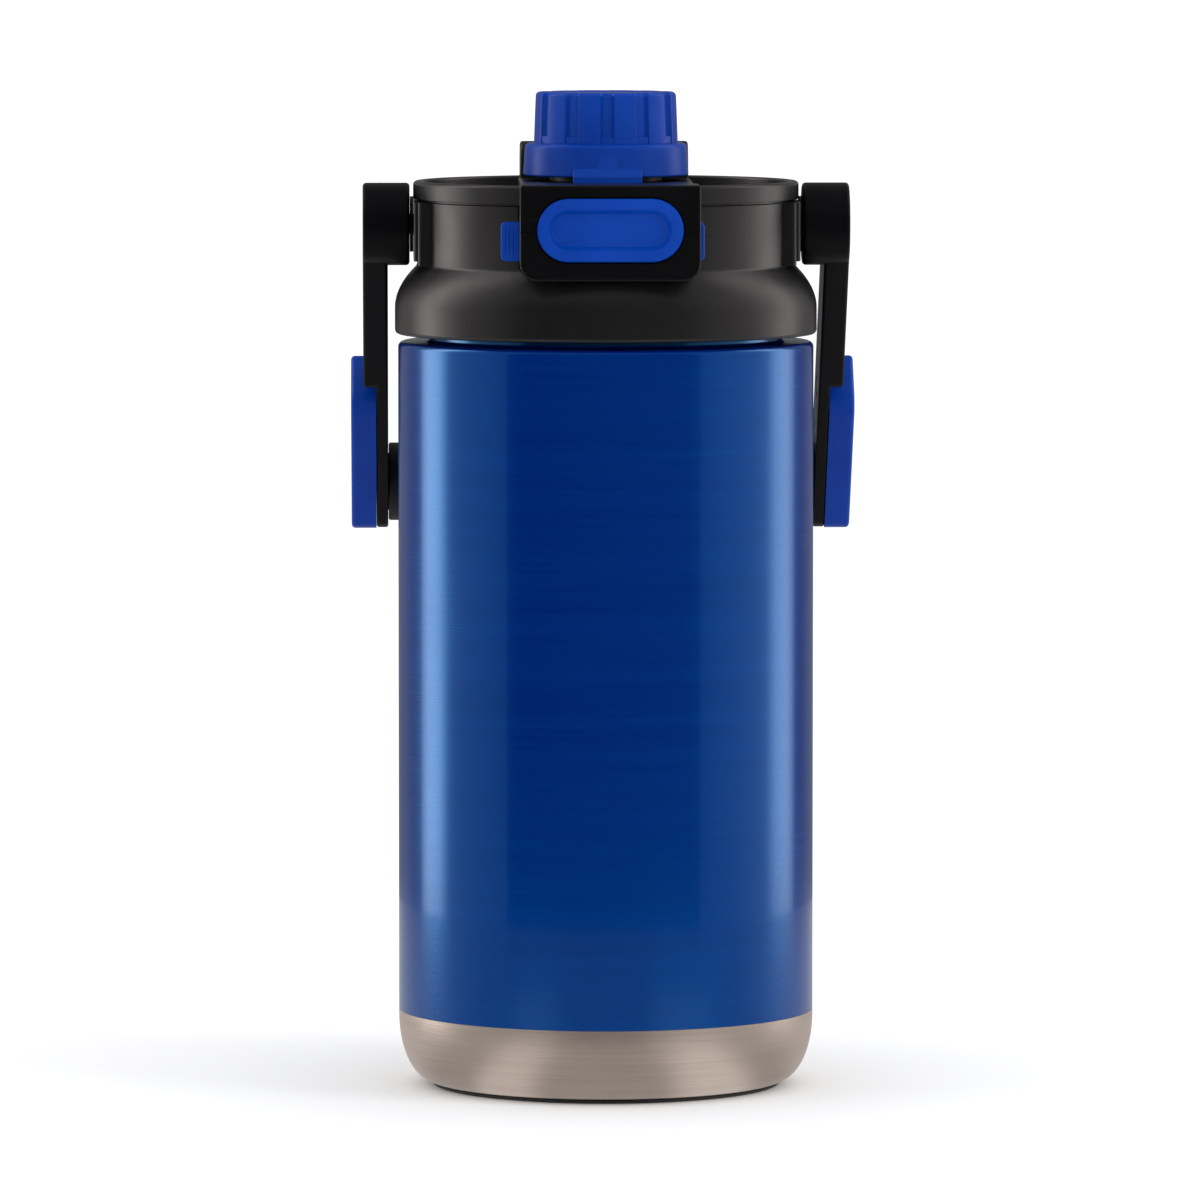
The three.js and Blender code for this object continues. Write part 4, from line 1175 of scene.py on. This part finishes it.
@dataclass
class Cap:
    """The flip cap with its fluted knob, hinge barrel, tongue and seal."""

    skirt_low: float = 23.5
    skirt_high: float = 22.9
    ledge: float = 268.3
    knob_low: float = 20.5
    knob_high: float = 20.0
    inner: float = 18.5
    flutes: int = 12
    flute_depth: float = 1.25
    flute_half: float = 1.75
    flute_wall: float = 0.75
    knuckle: float = 5.0
    knuckle_half: float = 11.6
    hinge_rise: float = 4.0
    tongue_half: float = 9.75
    root: float = 2.5
    cap: Extent = box_of("flip_cap")
    seal: Extent = box_of("cap_seal")

    def skirt(self) -> Form:
        """Returns the round skirt with its soft upper edge."""
        bottom = self.bottom
        side = [(self.skirt_low, bottom, 0.5), (self.skirt_high, self.ledge, 1.5)]
        under_knob = [
            (self.knob_low - 0.4, self.ledge), (self.knob_low - 0.4, self.ledge + 2), (0, self.ledge + 2)
        ]
        return Form.turned(rounded([(0, bottom)] + side + under_knob))

    @property
    def bottom(self) -> float:
        """Height of the skirt's lower edge."""
        return joint_place("cap_flip").z - self.hinge_rise

    def knob(self) -> Form:
        """Returns the knob: a drafted drum with flutes cut up its side."""
        top, low, high, edge = self.cap.high.z, self.knob_low, self.knob_high, 1.2
        rim = arc((high - edge, top - edge), (edge, edge), 0, 90, 5)
        rise = [(low, self.ledge - 0.5), (low, self.ledge), ((low + high) / 2, (self.ledge + top) / 2)]
        dimple = [(high - 4.4, top), (high - 4.8, top - 0.3), (0, top - 0.3)]
        form = Form.turned([(0, self.ledge - 0.5)] + rise + rim + dimple, 32 * self.flutes)
        for vert in form.bm.verts:
            self._flute(vert)
        return form

    def _flute(self, vert: bmesh.types.BMVert) -> None:
        """Moves a point of the drum inwards where a flute runs.

        Args:
            vert: the point.
        """
        radius = math.hypot(vert.co.x, vert.co.y)
        if radius < self.knob_high - 2:
            return
        pitch = math.tau / self.flutes
        angle = (math.atan2(vert.co.y, vert.co.x) + math.pi / 2 + pitch / 2) % pitch - pitch / 2
        across = abs(angle) * radius
        amount = min(1.0, max(0.0, (self.flute_half + self.flute_wall / 2 - across) / self.flute_wall))
        depth = self.flute_depth * amount * amount * (3 - 2 * amount)
        vert.co.x *= (radius - depth) / radius
        vert.co.y *= (radius - depth) / radius

    def barrel(self) -> Form:
        """Returns the hinge barrel and its web."""
        hinge, radius = joint_place("cap_flip"), self.knuckle
        outline = arc((hinge.y, hinge.z), (radius, radius), -90, 90, 20)
        outline += [
            (self.inner + 0.5, hinge.z + radius), (self.inner + 0.5, self.bottom), (hinge.y - 2, self.bottom)
        ]
        form = Form.plate(outline, Plane.SIDE, -self.knuckle_half, self.knuckle_half)
        return form.softened(0.5, Form.facing_x, 3)

    def tongue(self) -> Form:
        """Returns the tongue and its nose."""
        front, low = self.cap.low.y, self.cap.low.z
        nose = Extent.of("latch_catch").low.z - 0.4
        back = front + 2.4
        hook = [(front, low, 0.4), (back, low), (back + 2, nose - 0.8), (back + 2, nose), (back, nose)]
        bottom, root = self.bottom, self.bottom + self.root
        arm = [(back, bottom), (-self.inner - 1, bottom), (-self.inner - 1, root)]
        face = [(-self.skirt_low + 0.3, root), (front, bottom + 0.2, 0.8)]
        outline = rounded(hook + arm + face, 4)
        form = Form.plate(outline, Plane.SIDE, -self.tongue_half, self.tongue_half)
        return form.softened(
            0.45, lambda e: Form.facing_x(e) and min(v.co.y for v in e.verts) < back - 0.2,
            3
        )

    def lid(self) -> Form:
        """Returns the whole cap, hollow underneath."""
        hinge = joint_place("cap_flip")
        ceiling = self.seal.high.z + 0.3
        hollow = Form.rod(self.inner, (0, 0, self.bottom - 5), (0, 0, ceiling), MEDIUM * 2)
        pin = Form.rod(1.8, (-40, hinge.y, hinge.z), (40, hinge.y, hinge.z), SMALL)
        return self.skirt().joined(self.knob(), self.barrel(), self.tongue()).cut(hollow, pin)

    def plug(self) -> Form:
        """Returns the soft seal that closes the spout."""
        low, high, rim = self.seal.low.z, self.seal.high.z, self.seal.radius
        seat = high - 1.7
        stem = [(11.6, low, 0.5), (13.0, seat - 0.3), (13.0, seat)]
        return Form.turned(
            rounded([(0, low)] + stem + [(rim, seat, 0.3), (rim, high, 0.3), (0, high)]), MEDIUM * 2
        )

    def build(self) -> None:
        """Makes and dresses the cap."""
        place(self.lid().finished("fluted_cap"), "cap", "plastic_blue", BLUE, "flip_cap")
        place(self.plug().finished("cap_plug"), "cap", "silicone_grey", SILICONE, "cap_seal")


@dataclass
class Handle:
    """The bail with its soft grip, pivot covers and fence hooks, built hanging down from its axis."""

    rest_reach: float = 71.4
    boss: float = 11.7
    strap_half: float = 10.5
    strap_in: float = 61.9
    strap_out: float = 69.0
    step_at: float = 57.5
    paddle: float = 3.4
    length: float = 117.5
    grip_at: float = 105.5
    grip_long: float = 12.2
    grip_wide: float = 10.5
    hook_start: float = 62.8
    hook_end: float = 117.2
    throat_at: float = 103.0
    throat: float = 8.0
    finger: float = 9.5
    tip_at: float = 83.0
    screws_at: tuple[float, float] = (66.0, 84.0)
    screw_hole: float = 1.8
    screw_head: float = 3.3
    core_long: float = 7.5
    core_wide: float = 6.0
    washer_fill: float = 0.24
    hook_box: Extent = box_of("fence_hook_right")
    cover_box: Extent = box_of("pivot_cap_right")
    screw_box: Extent = box_of("pivot_screw_right")
    washer_box: Extent = box_of("pivot_washer_right")

    @property
    def lean(self) -> float:
        """Angle in degrees the handle leans back when its crossbar rests against the body."""
        return math.degrees(math.asin(self.rest_reach / self.grip_at))

    def leaned(self, form: Form) -> Form:
        """Swings a form from hanging straight down to where the handle rests.

        Args:
            form: a form hanging from the origin.

        Returns:
            The same form at rest.
        """
        turn = Matrix.Rotation(math.radians(self.lean), 4, "X")
        return form.turned_by(Matrix.Translation(joint_place("handle_swing")) @ turn)

    def side_plate(self, outline: Sequence[Point], side: int, inner: float, outer: float) -> Form:
        """A plate in the handle's plane on one side, between two distances from the middle.

        Args:
            outline: points in the plane of the handle.
            side: +1 or -1 along X.
            inner: nearer distance.
            outer: farther distance.

        Returns:
            The plate.
        """
        start, end = sorted((side * inner, side * outer))
        return Form.plate(outline, Plane.SIDE, start, end)

    def bail(self) -> Form:
        """Returns the bail: bosses, straps, thin lower paddles and the crossbar core."""
        half, step = self.strap_half, self.step_at
        strap = rounded([(-half, 0), (-half, -step, 3.0), (half, -step, 3.0), (half, 0)], 6)
        upper, lower = -step + 12, -self.length
        paddle = rounded([(-half, upper), (-half, lower, 6.0), (half, lower, 6.0), (half, upper)], 8)
        wide, first, last = self.core_wide, -self.grip_at - self.core_long, -self.grip_at + self.core_long
        core = rounded([(-wide, first, 3), (wide, first, 3), (wide, last, 3), (-wide, last, 3)], 4)
        form = Form.plate(core, Plane.SIDE, -self.strap_in - 1, self.strap_in + 1)
        inner = Extent.of("pivot_washer_right").high.x + 0.3
        recess = (self.cover_box.high.y - self.cover_box.low.y) / 2 + 0.12
        for side in (-1, 1):
            boss = Form.rod(self.boss, (side * inner, 0, 0), (side * self.strap_out, 0, 0), MEDIUM)
            boss = boss.softened(1.0, lambda e: True, 4)
            arm = self.side_plate(strap, side, self.strap_in, self.strap_out).softened(
                1.0, Form.facing_x, 4
            )
            leaf = self.side_plate(paddle, side, self.strap_in, self.strap_in + self.paddle)
            leaf = leaf.softened(0.7, Form.facing_x, 3)
            form = form.joined(boss, arm, leaf)
            well = Form.rod(
                recess, (side * (self.screw_box.high.x - 2.5), 0, 0), (side * (self.strap_out + 2), 0, 0),
                MEDIUM
            )
            bore = Form.rod(3.2, (side * 40, 0, 0), (side * 80, 0, 0), SMALL)
            form = form.cut(well, bore)
            for at in self.screws_at:
                start, sunk = (side * 50, 0, -at), (side * (self.strap_in + 1.9), 0, -at)
                hole = Form.rod(self.screw_hole, start, (side * 80, 0, -at), 24)
                form = form.cut(hole, Form.rod(self.screw_head, start, sunk, 24))
        return self.leaned(form)

    def grip(self) -> Form:
        """Returns the soft sleeve, with a lip at each end and shallow rings along it."""
        reach = self.strap_in - 0.1
        outline = arc((0, -self.grip_at), (self.grip_wide, self.grip_long), 0, 360, 56)[:-1]
        form = Form.plate(outline, Plane.SIDE, -reach, reach).softened(0.6, lambda e: True, 4)
        for place_x in (-reach + 4.0, reach - 4.0):
            ring = Form.plate(
                arc((0, -self.grip_at), (14.0, 16.0), 0, 360, 56)[:-1], Plane.SIDE, place_x - 0.5,
                place_x + 0.5
            )
            keep = Form.plate(
                arc((0, -self.grip_at), (self.grip_wide - 0.5, self.grip_long - 0.5), 0, 360, 56)[:-1],
                Plane.SIDE, place_x - 2, place_x + 2
            )
            form = form.cut(ring.cut(keep))
        tunnel = Form.block((-reach - 5, -6.2, -self.grip_at - 7.7), (reach + 5, 6.2, -self.grip_at + 7.7))
        return self.leaned(form.cut(tunnel))

    def hook(self, side: int) -> Form:
        """Returns one fence hook: a crowned plate with a finger that turns back up.

        Args:
            side: +1 or -1 along X.

        Returns:
            The hook where it sits on the leaning handle.
        """
        half, low, high = self.strap_half, -self.hook_end, -self.hook_start
        near, far = half + self.throat, half + self.throat + self.finger
        tip = self.finger / 2
        outline = rounded([
            (half, high, 2.0), (-half, high, 5.0), (-half, low, 5.0), (far, low, 12.0),
            (far, -self.tip_at, tip - 0.3), (near, -self.tip_at, tip - 0.3),
            (near, -self.throat_at, 1.5), (half, -self.throat_at, 1.5),
        ], 8)
        inner, outer = self.strap_in + self.paddle + 0.05, self.hook_box.high.x
        form = self.side_plate(outline, side, inner, outer)
        form = form.softened(1.1, lambda e: all(abs(v.co.x) > outer - 0.01 for v in e.verts), 4)
        for at in self.screws_at:
            start, end = (side * (inner - 2), 0, -at), (side * (inner + 5), 0, -at)
            form = form.cut(Form.rod(self.screw_hole, start, end, 24))
        return self.leaned(form)

    def cover(self, side: int) -> Form:
        """Returns the disc pressed over a pivot screw, with a coin slot's worth of dish.

        Args:
            side: +1 or -1 along X.

        Returns:
            The cover where it sits on the handle.
        """
        radius = (self.cover_box.high.y - self.cover_box.low.y) / 2
        inner, outer = self.cover_box.low.x, self.cover_box.high.x
        rim = [
            (radius, inner), (radius, outer, 0.5), (radius - 2.2, outer, 0.3),
            (radius - 2.6, outer - 0.5, 0.3)
        ]
        form = Form.turned(rounded([(0, inner)] + rim + [(0, outer - 0.5)]), MEDIUM)
        form.turned_by(Matrix.Rotation(math.radians(90 * side), 4, "Y"))
        return self.leaned(form)

    def washer(self, side: int) -> Form:
        """Returns the bearing ring between the collar's pad and a boss, with softened edges.

        Args:
            side: +1 or -1 along X.

        Returns:
            The washer on the handle's axis.
        """
        inner, outer = self.washer_box.low.x - self.washer_fill, self.washer_box.high.x + self.washer_fill
        radius = self.washer_box.high.z - joint_place("handle_swing").z
        form = Form.turned(
            rounded([(3.2, inner), (radius, inner, 0.2), (radius, outer, 0.2), (3.2, outer)]), MEDIUM
        )
        form.turned_by(Matrix.Rotation(math.radians(90 * side), 4, "Y"))
        return form.turned_by(Matrix.Translation(joint_place("handle_swing")))

    def build(self) -> None:
        """Makes and dresses the handle."""
        place(self.bail().finished("bail"), "handle", "lid_black", STRAP, "handle_bail")
        place(self.grip().finished("soft_grip"), "handle", "grip_rubber", GRIP, "handle_grip")
        for label, side in (("left", -1), ("right", 1)):
            place(
                self.hook(side).finished(f"hook_{label}"), "handle", "plastic_blue", BLUE,
                f"fence_hook_{label}"
            )
            place(
                self.cover(side).finished(f"pivot_cover_{label}"), "handle", "lid_black", BLACK,
                f"pivot_cap_{label}"
            )
            place(
                self.washer(side).finished(f"pivot_bearing_{label}"), "lid", "lid_black", BLACK,
                f"pivot_washer_{label}"
            )


# ---------------------------------------------------------------- kept CAD nodes


class SlotFinish(Enum):
    """The finish of a CAD node that stays, by the record's material slot."""

    inner_steel = LINER
    hardware_steel = HARDWARE
    lid_charcoal = CHARCOAL
    lid_black = BLACK
    plastic_blue = BLUE
    silicone_grey = SILICONE
    foam_white = FOAM
    rubber_black = PAD
    grip_rubber = GRIP
    body_paint = PAINT
    base_steel = BAND


def dress_frame() -> None:
    """Gives every CAD node the finish of its slot."""
    slots = {part["node"]: part["material_slot"] for part in frame["record"]["subparts"]}
    for name, item in frame["nodes"].items():
        material = SlotFinish[slots[name]].value.material()
        item.data.materials.clear()
        item.data.materials.append(material)
        log.info("%s: %s", name, material.name)


# ---------------------------------------------------------------- studio


@dataclass(frozen=True)
class Card:
    """An upright curved reflector that only glossy surfaces see. Azimuths are in degrees, 0 in front."""

    name: str
    start: float
    end: float
    bottom: float
    top: float
    left: float
    right: float
    feather: float = 0.0


class Surround(Enum):
    """The reflectors round the jug."""

    FRONT = Card("front_card", -57, 52, -3.0, 2.6, 0.012, 0.11)
    LEFT_FILL = Card("left_fill", -99, -57, -3.0, 3.2, 0.62, 0.36)
    RIGHT_FILL = Card("right_fill", 52, 98, -3.0, 3.2, 0.4, 0.75)
    LEFT_STRIP = Card("left_strip", -125, -99, -3.0, 6.5, 4.0, 3.8, 0.3)
    RIGHT_STRIP = Card("right_strip", 98, 127, -3.0, 5.5, 2.5, 2.9, 0.3)
    LEFT_FLAG = Card("left_flag", -152, -125, -3.0, 3.0, 0.35, 0.15)
    RIGHT_FLAG = Card("right_flag", 127, 152, -3.0, 3.0, 0.1, 0.3)


@dataclass
class Studio:
    """Floor, reflectors, lights and the camera, in metres."""

    distance: float = 2.714
    height: float = 0.3442
    azimuth: float = -1.25
    aim: tuple[float, float, float] = (-0.00165, 0.0, 0.1381)
    lens: float = 286.8
    daylight: float = 1.18
    reflected: float = 0.26
    ring: float = 3.6
    table: float = 0.511
    table_tone: float = 0.46
    streaks: tuple[tuple[float, float, float], ...] = ((-36, 12, 0.55), (37, 16, 0.65))

    def camera(self) -> None:
        """Adds the camera low in front, on a long lens."""
        data = bpy.data.cameras.new("camera")
        data.lens, data.sensor_width = self.lens, 36.0
        data.clip_end = 60.0
        item = bpy.data.objects.new("camera", data)
        item.location = self.around(self.azimuth, self.distance, self.height)
        look = Vector(self.aim) - item.location
        item.rotation_euler = look.to_track_quat("-Z", "Y").to_euler()
        bpy.context.scene.collection.objects.link(item)
        bpy.context.scene.camera = item

    @staticmethod
    def around(azimuth: float, distance: float, height: float) -> Vector:
        """A point at an azimuth, distance and height from the jug's axis.

        Args:
            azimuth: degrees round from the front, growing to the right.
            distance: from the axis.
            height: above the floor.

        Returns:
            The point.
        """
        turn = math.radians(azimuth)
        return Vector((distance * math.sin(turn), -distance * math.cos(turn), height))

    def disc(self, name: str, radius: float, height: float, material: bpy.types.Material) -> bpy.types.Object:
        """Adds a level disc to the set.

        Args:
            name: its name.
            radius: its radius.
            height: above the floor.
            material: its material.

        Returns:
            The set piece.
        """
        bm = bmesh.new()
        bmesh.ops.create_circle(
            bm, cap_ends=True, segments=128, radius=radius, matrix=Matrix.Translation((0, 0, height))
        )
        return self.placed(name, bm, material)

    @staticmethod
    def placed(name: str, bm: bmesh.types.BMesh, material: bpy.types.Material) -> bpy.types.Object:
        """Turns a mesh into a set piece.

        Args:
            name: its name.
            bm: the mesh, which is freed.
            material: its material.

        Returns:
            The set piece.
        """
        mesh = bpy.data.meshes.new(name)
        bm.to_mesh(mesh)
        bm.free()
        mesh.materials.append(material)
        item = bpy.data.objects.new(name, mesh)
        bpy.context.scene.collection.objects.link(item)
        return item

    def floor(self) -> None:
        """Adds the pale floor, and the tone that glossy surfaces see in it near the jug."""
        pale = bpy.data.materials.new("floor_white")
        pale.use_nodes = True
        shader = pale.node_tree.nodes["Principled BSDF"]
        shader.inputs["Base Color"].default_value = (0.9, 0.9, 0.9, 1.0)
        shader.inputs["Roughness"].default_value = 0.7
        shader.inputs["Specular IOR Level"].default_value = 0.0
        self.disc("floor", 9.0, 0.0, pale).visible_glossy = False
        bm = bmesh.new()
        radii = (0.0, 0.06, 0.3, 0.36, self.table)
        rim = [bm.verts.new(self.around(0, radius, -0.0005)) for radius in radii]
        spokes = [bm.edges.new(pair) for pair in zip(rim, rim[1:])]
        bmesh.ops.spin(
            bm, geom=rim + spokes, cent=(0, 0, 0), axis=(0, 0, 1), angle=math.tau, steps=144, use_merge=True
        )
        layer = bm.verts.layers.float.new("across")
        for vert in bm.verts:
            vert[layer] = self.table_light(math.degrees(math.atan2(vert.co.x, -vert.co.y)), vert.co.xy.length)
        self.seen_in_gloss(self.placed("table", bm, self.glowing("table_glow", 0.0, 2.0, top=2.0)))

    def table_light(self, azimuth: float, radius: float) -> float:
        """How light the table looks at a point, with two pale streaks in front and lighter sides.

        Args:
            azimuth: degrees round from the front.
            radius: distance from the axis.

        Returns:
            The emission strength.
        """
        side = min(1.0, max(0.0, (abs(azimuth) - 70) / 25)) * 0.4
        streaks = sum(
            power * math.exp(-(((azimuth - at) / width) ** 4)) for at, width, power in self.streaks
        )
        return self.table_tone * (1 + side) + (
            streaks * self.table_tone * 1.4 if 0.01 < radius < 0.31 else 0.0
        )

    @staticmethod
    def seen_in_gloss(item: bpy.types.Object) -> None:
        """Leaves a set piece visible to glossy surfaces only.

        Args:
            item: the set piece.
        """
        item.visible_camera = item.visible_diffuse = item.visible_shadow = item.visible_transmission = False

    @staticmethod
    def glowing(
        name: str, left: float, right: float, feather: float = 0.0, top: float = 1.0
    ) -> bpy.types.Material:
        """A card surface whose tone runs from one side to the other.

        Args:
            name: the material's name.
            left: tone at the first edge.
            right: tone at the last edge.
            feather: share of the width over which both edges fade.
            top: the attribute's value at the last edge.

        Returns:
            The material.
        """
        material = bpy.data.materials.new(name)
        material.use_nodes = True
        tree = material.node_tree
        tree.nodes.clear()
        weave = Weave(tree)
        across = weave.node("ShaderNodeAttribute", attribute_name="across").outputs["Fac"]
        tone = weave.ramp(across, 0.0, top, left, right)
        if feather:
            edge = weave.maths(
                "MULTIPLY", weave.ramp(across, 0.0, feather), weave.ramp(across, 1.0, 1.0 - feather)
            )
            tone = weave.maths("MULTIPLY", tone, weave.ramp(edge, 0.0, 1.0, 0.25, 1.0))
        warm = weave.node("ShaderNodeEmission", Color=(1.0, 0.955, 0.93, 1.0), Strength=tone)
        output = weave.node("ShaderNodeOutputMaterial")
        tree.links.new(warm.outputs[0], output.inputs["Surface"])
        return material

    def card(self, card: Card) -> None:
        """Adds one reflector.

        Args:
            card: the reflector.
        """
        bm = bmesh.new()
        steps = 32
        foot = [bm.verts.new(self.around(card.start, self.ring, z)) for z in (card.bottom, card.top)]
        edge = bm.edges.new(foot)
        span = math.radians(card.end - card.start)
        bmesh.ops.spin(bm, geom=foot + [edge], cent=(0, 0, 0), axis=(0, 0, 1), angle=span, steps=steps)
        layer = bm.verts.layers.float.new("across")
        for vert in bm.verts:
            azimuth = math.degrees(math.atan2(vert.co.x, -vert.co.y))
            vert[layer] = (azimuth - card.start) / (card.end - card.start)
        tone = self.glowing(f"{card.name}_tone", card.left, card.right, card.feather)
        self.seen_in_gloss(self.placed(card.name, bm, tone))

    def softbox(
        self, name: str, azimuth: float, height: float, distance: float, size: Point, power: float
    ) -> None:
        """Adds an area light that faces the jug and isn't itself reflected.

        Args:
            name: the light's name.
            azimuth: degrees round from the front, growing to the right.
            height: height of its centre.
            distance: distance from the axis.
            size: width and height.
            power: watts.
        """
        data = bpy.data.lights.new(name, "AREA")
        data.shape, data.size, data.size_y, data.energy = "RECTANGLE", size[0], size[1], power
        item = bpy.data.objects.new(name, data)
        item.location = self.around(azimuth, distance, height)
        item.rotation_euler = (Vector((0, 0, 0.13)) - item.location).to_track_quat("-Z", "Y").to_euler()
        item.visible_camera = item.visible_glossy = False
        bpy.context.scene.collection.objects.link(item)

    def world(self) -> None:
        """Lights everything softly from a white surround, which glossy surfaces see more dimly."""
        world = bpy.data.worlds.new("surround")
        world.use_nodes = True
        weave = Weave(world.node_tree)
        background = world.node_tree.nodes["Background"]
        background.inputs["Color"].default_value = (1.0, 1.0, 1.0, 1.0)
        glossy = weave.node("ShaderNodeLightPath").outputs["Is Glossy Ray"]
        strength = weave.ramp(glossy, 0.0, 1.0, self.daylight, self.reflected)
        world.node_tree.links.new(strength, background.inputs["Strength"])
        bpy.context.scene.world = world
        bpy.context.scene.view_settings.view_transform = "Standard"

    def build(self) -> None:
        """Sets the whole studio."""
        self.camera()
        self.floor()
        self.world()
        for reflector in Surround:
            self.card(reflector.value)
        self.softbox("key_light", 62, 0.9, 1.6, (0.7, 0.9), 7.0)
        self.softbox("fill_light", -70, 0.6, 1.6, (0.7, 0.9), 2.5)


def main() -> None:
    """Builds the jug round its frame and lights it."""
    logging.basicConfig(level=logging.INFO, format="%(message)s")
    Studio().build()
    dress_frame()
    for assembly in (Vessel(), Lid(), Latch(), Cap(), Handle()):
        assembly.build()


if __name__ == "__main__":
    main()
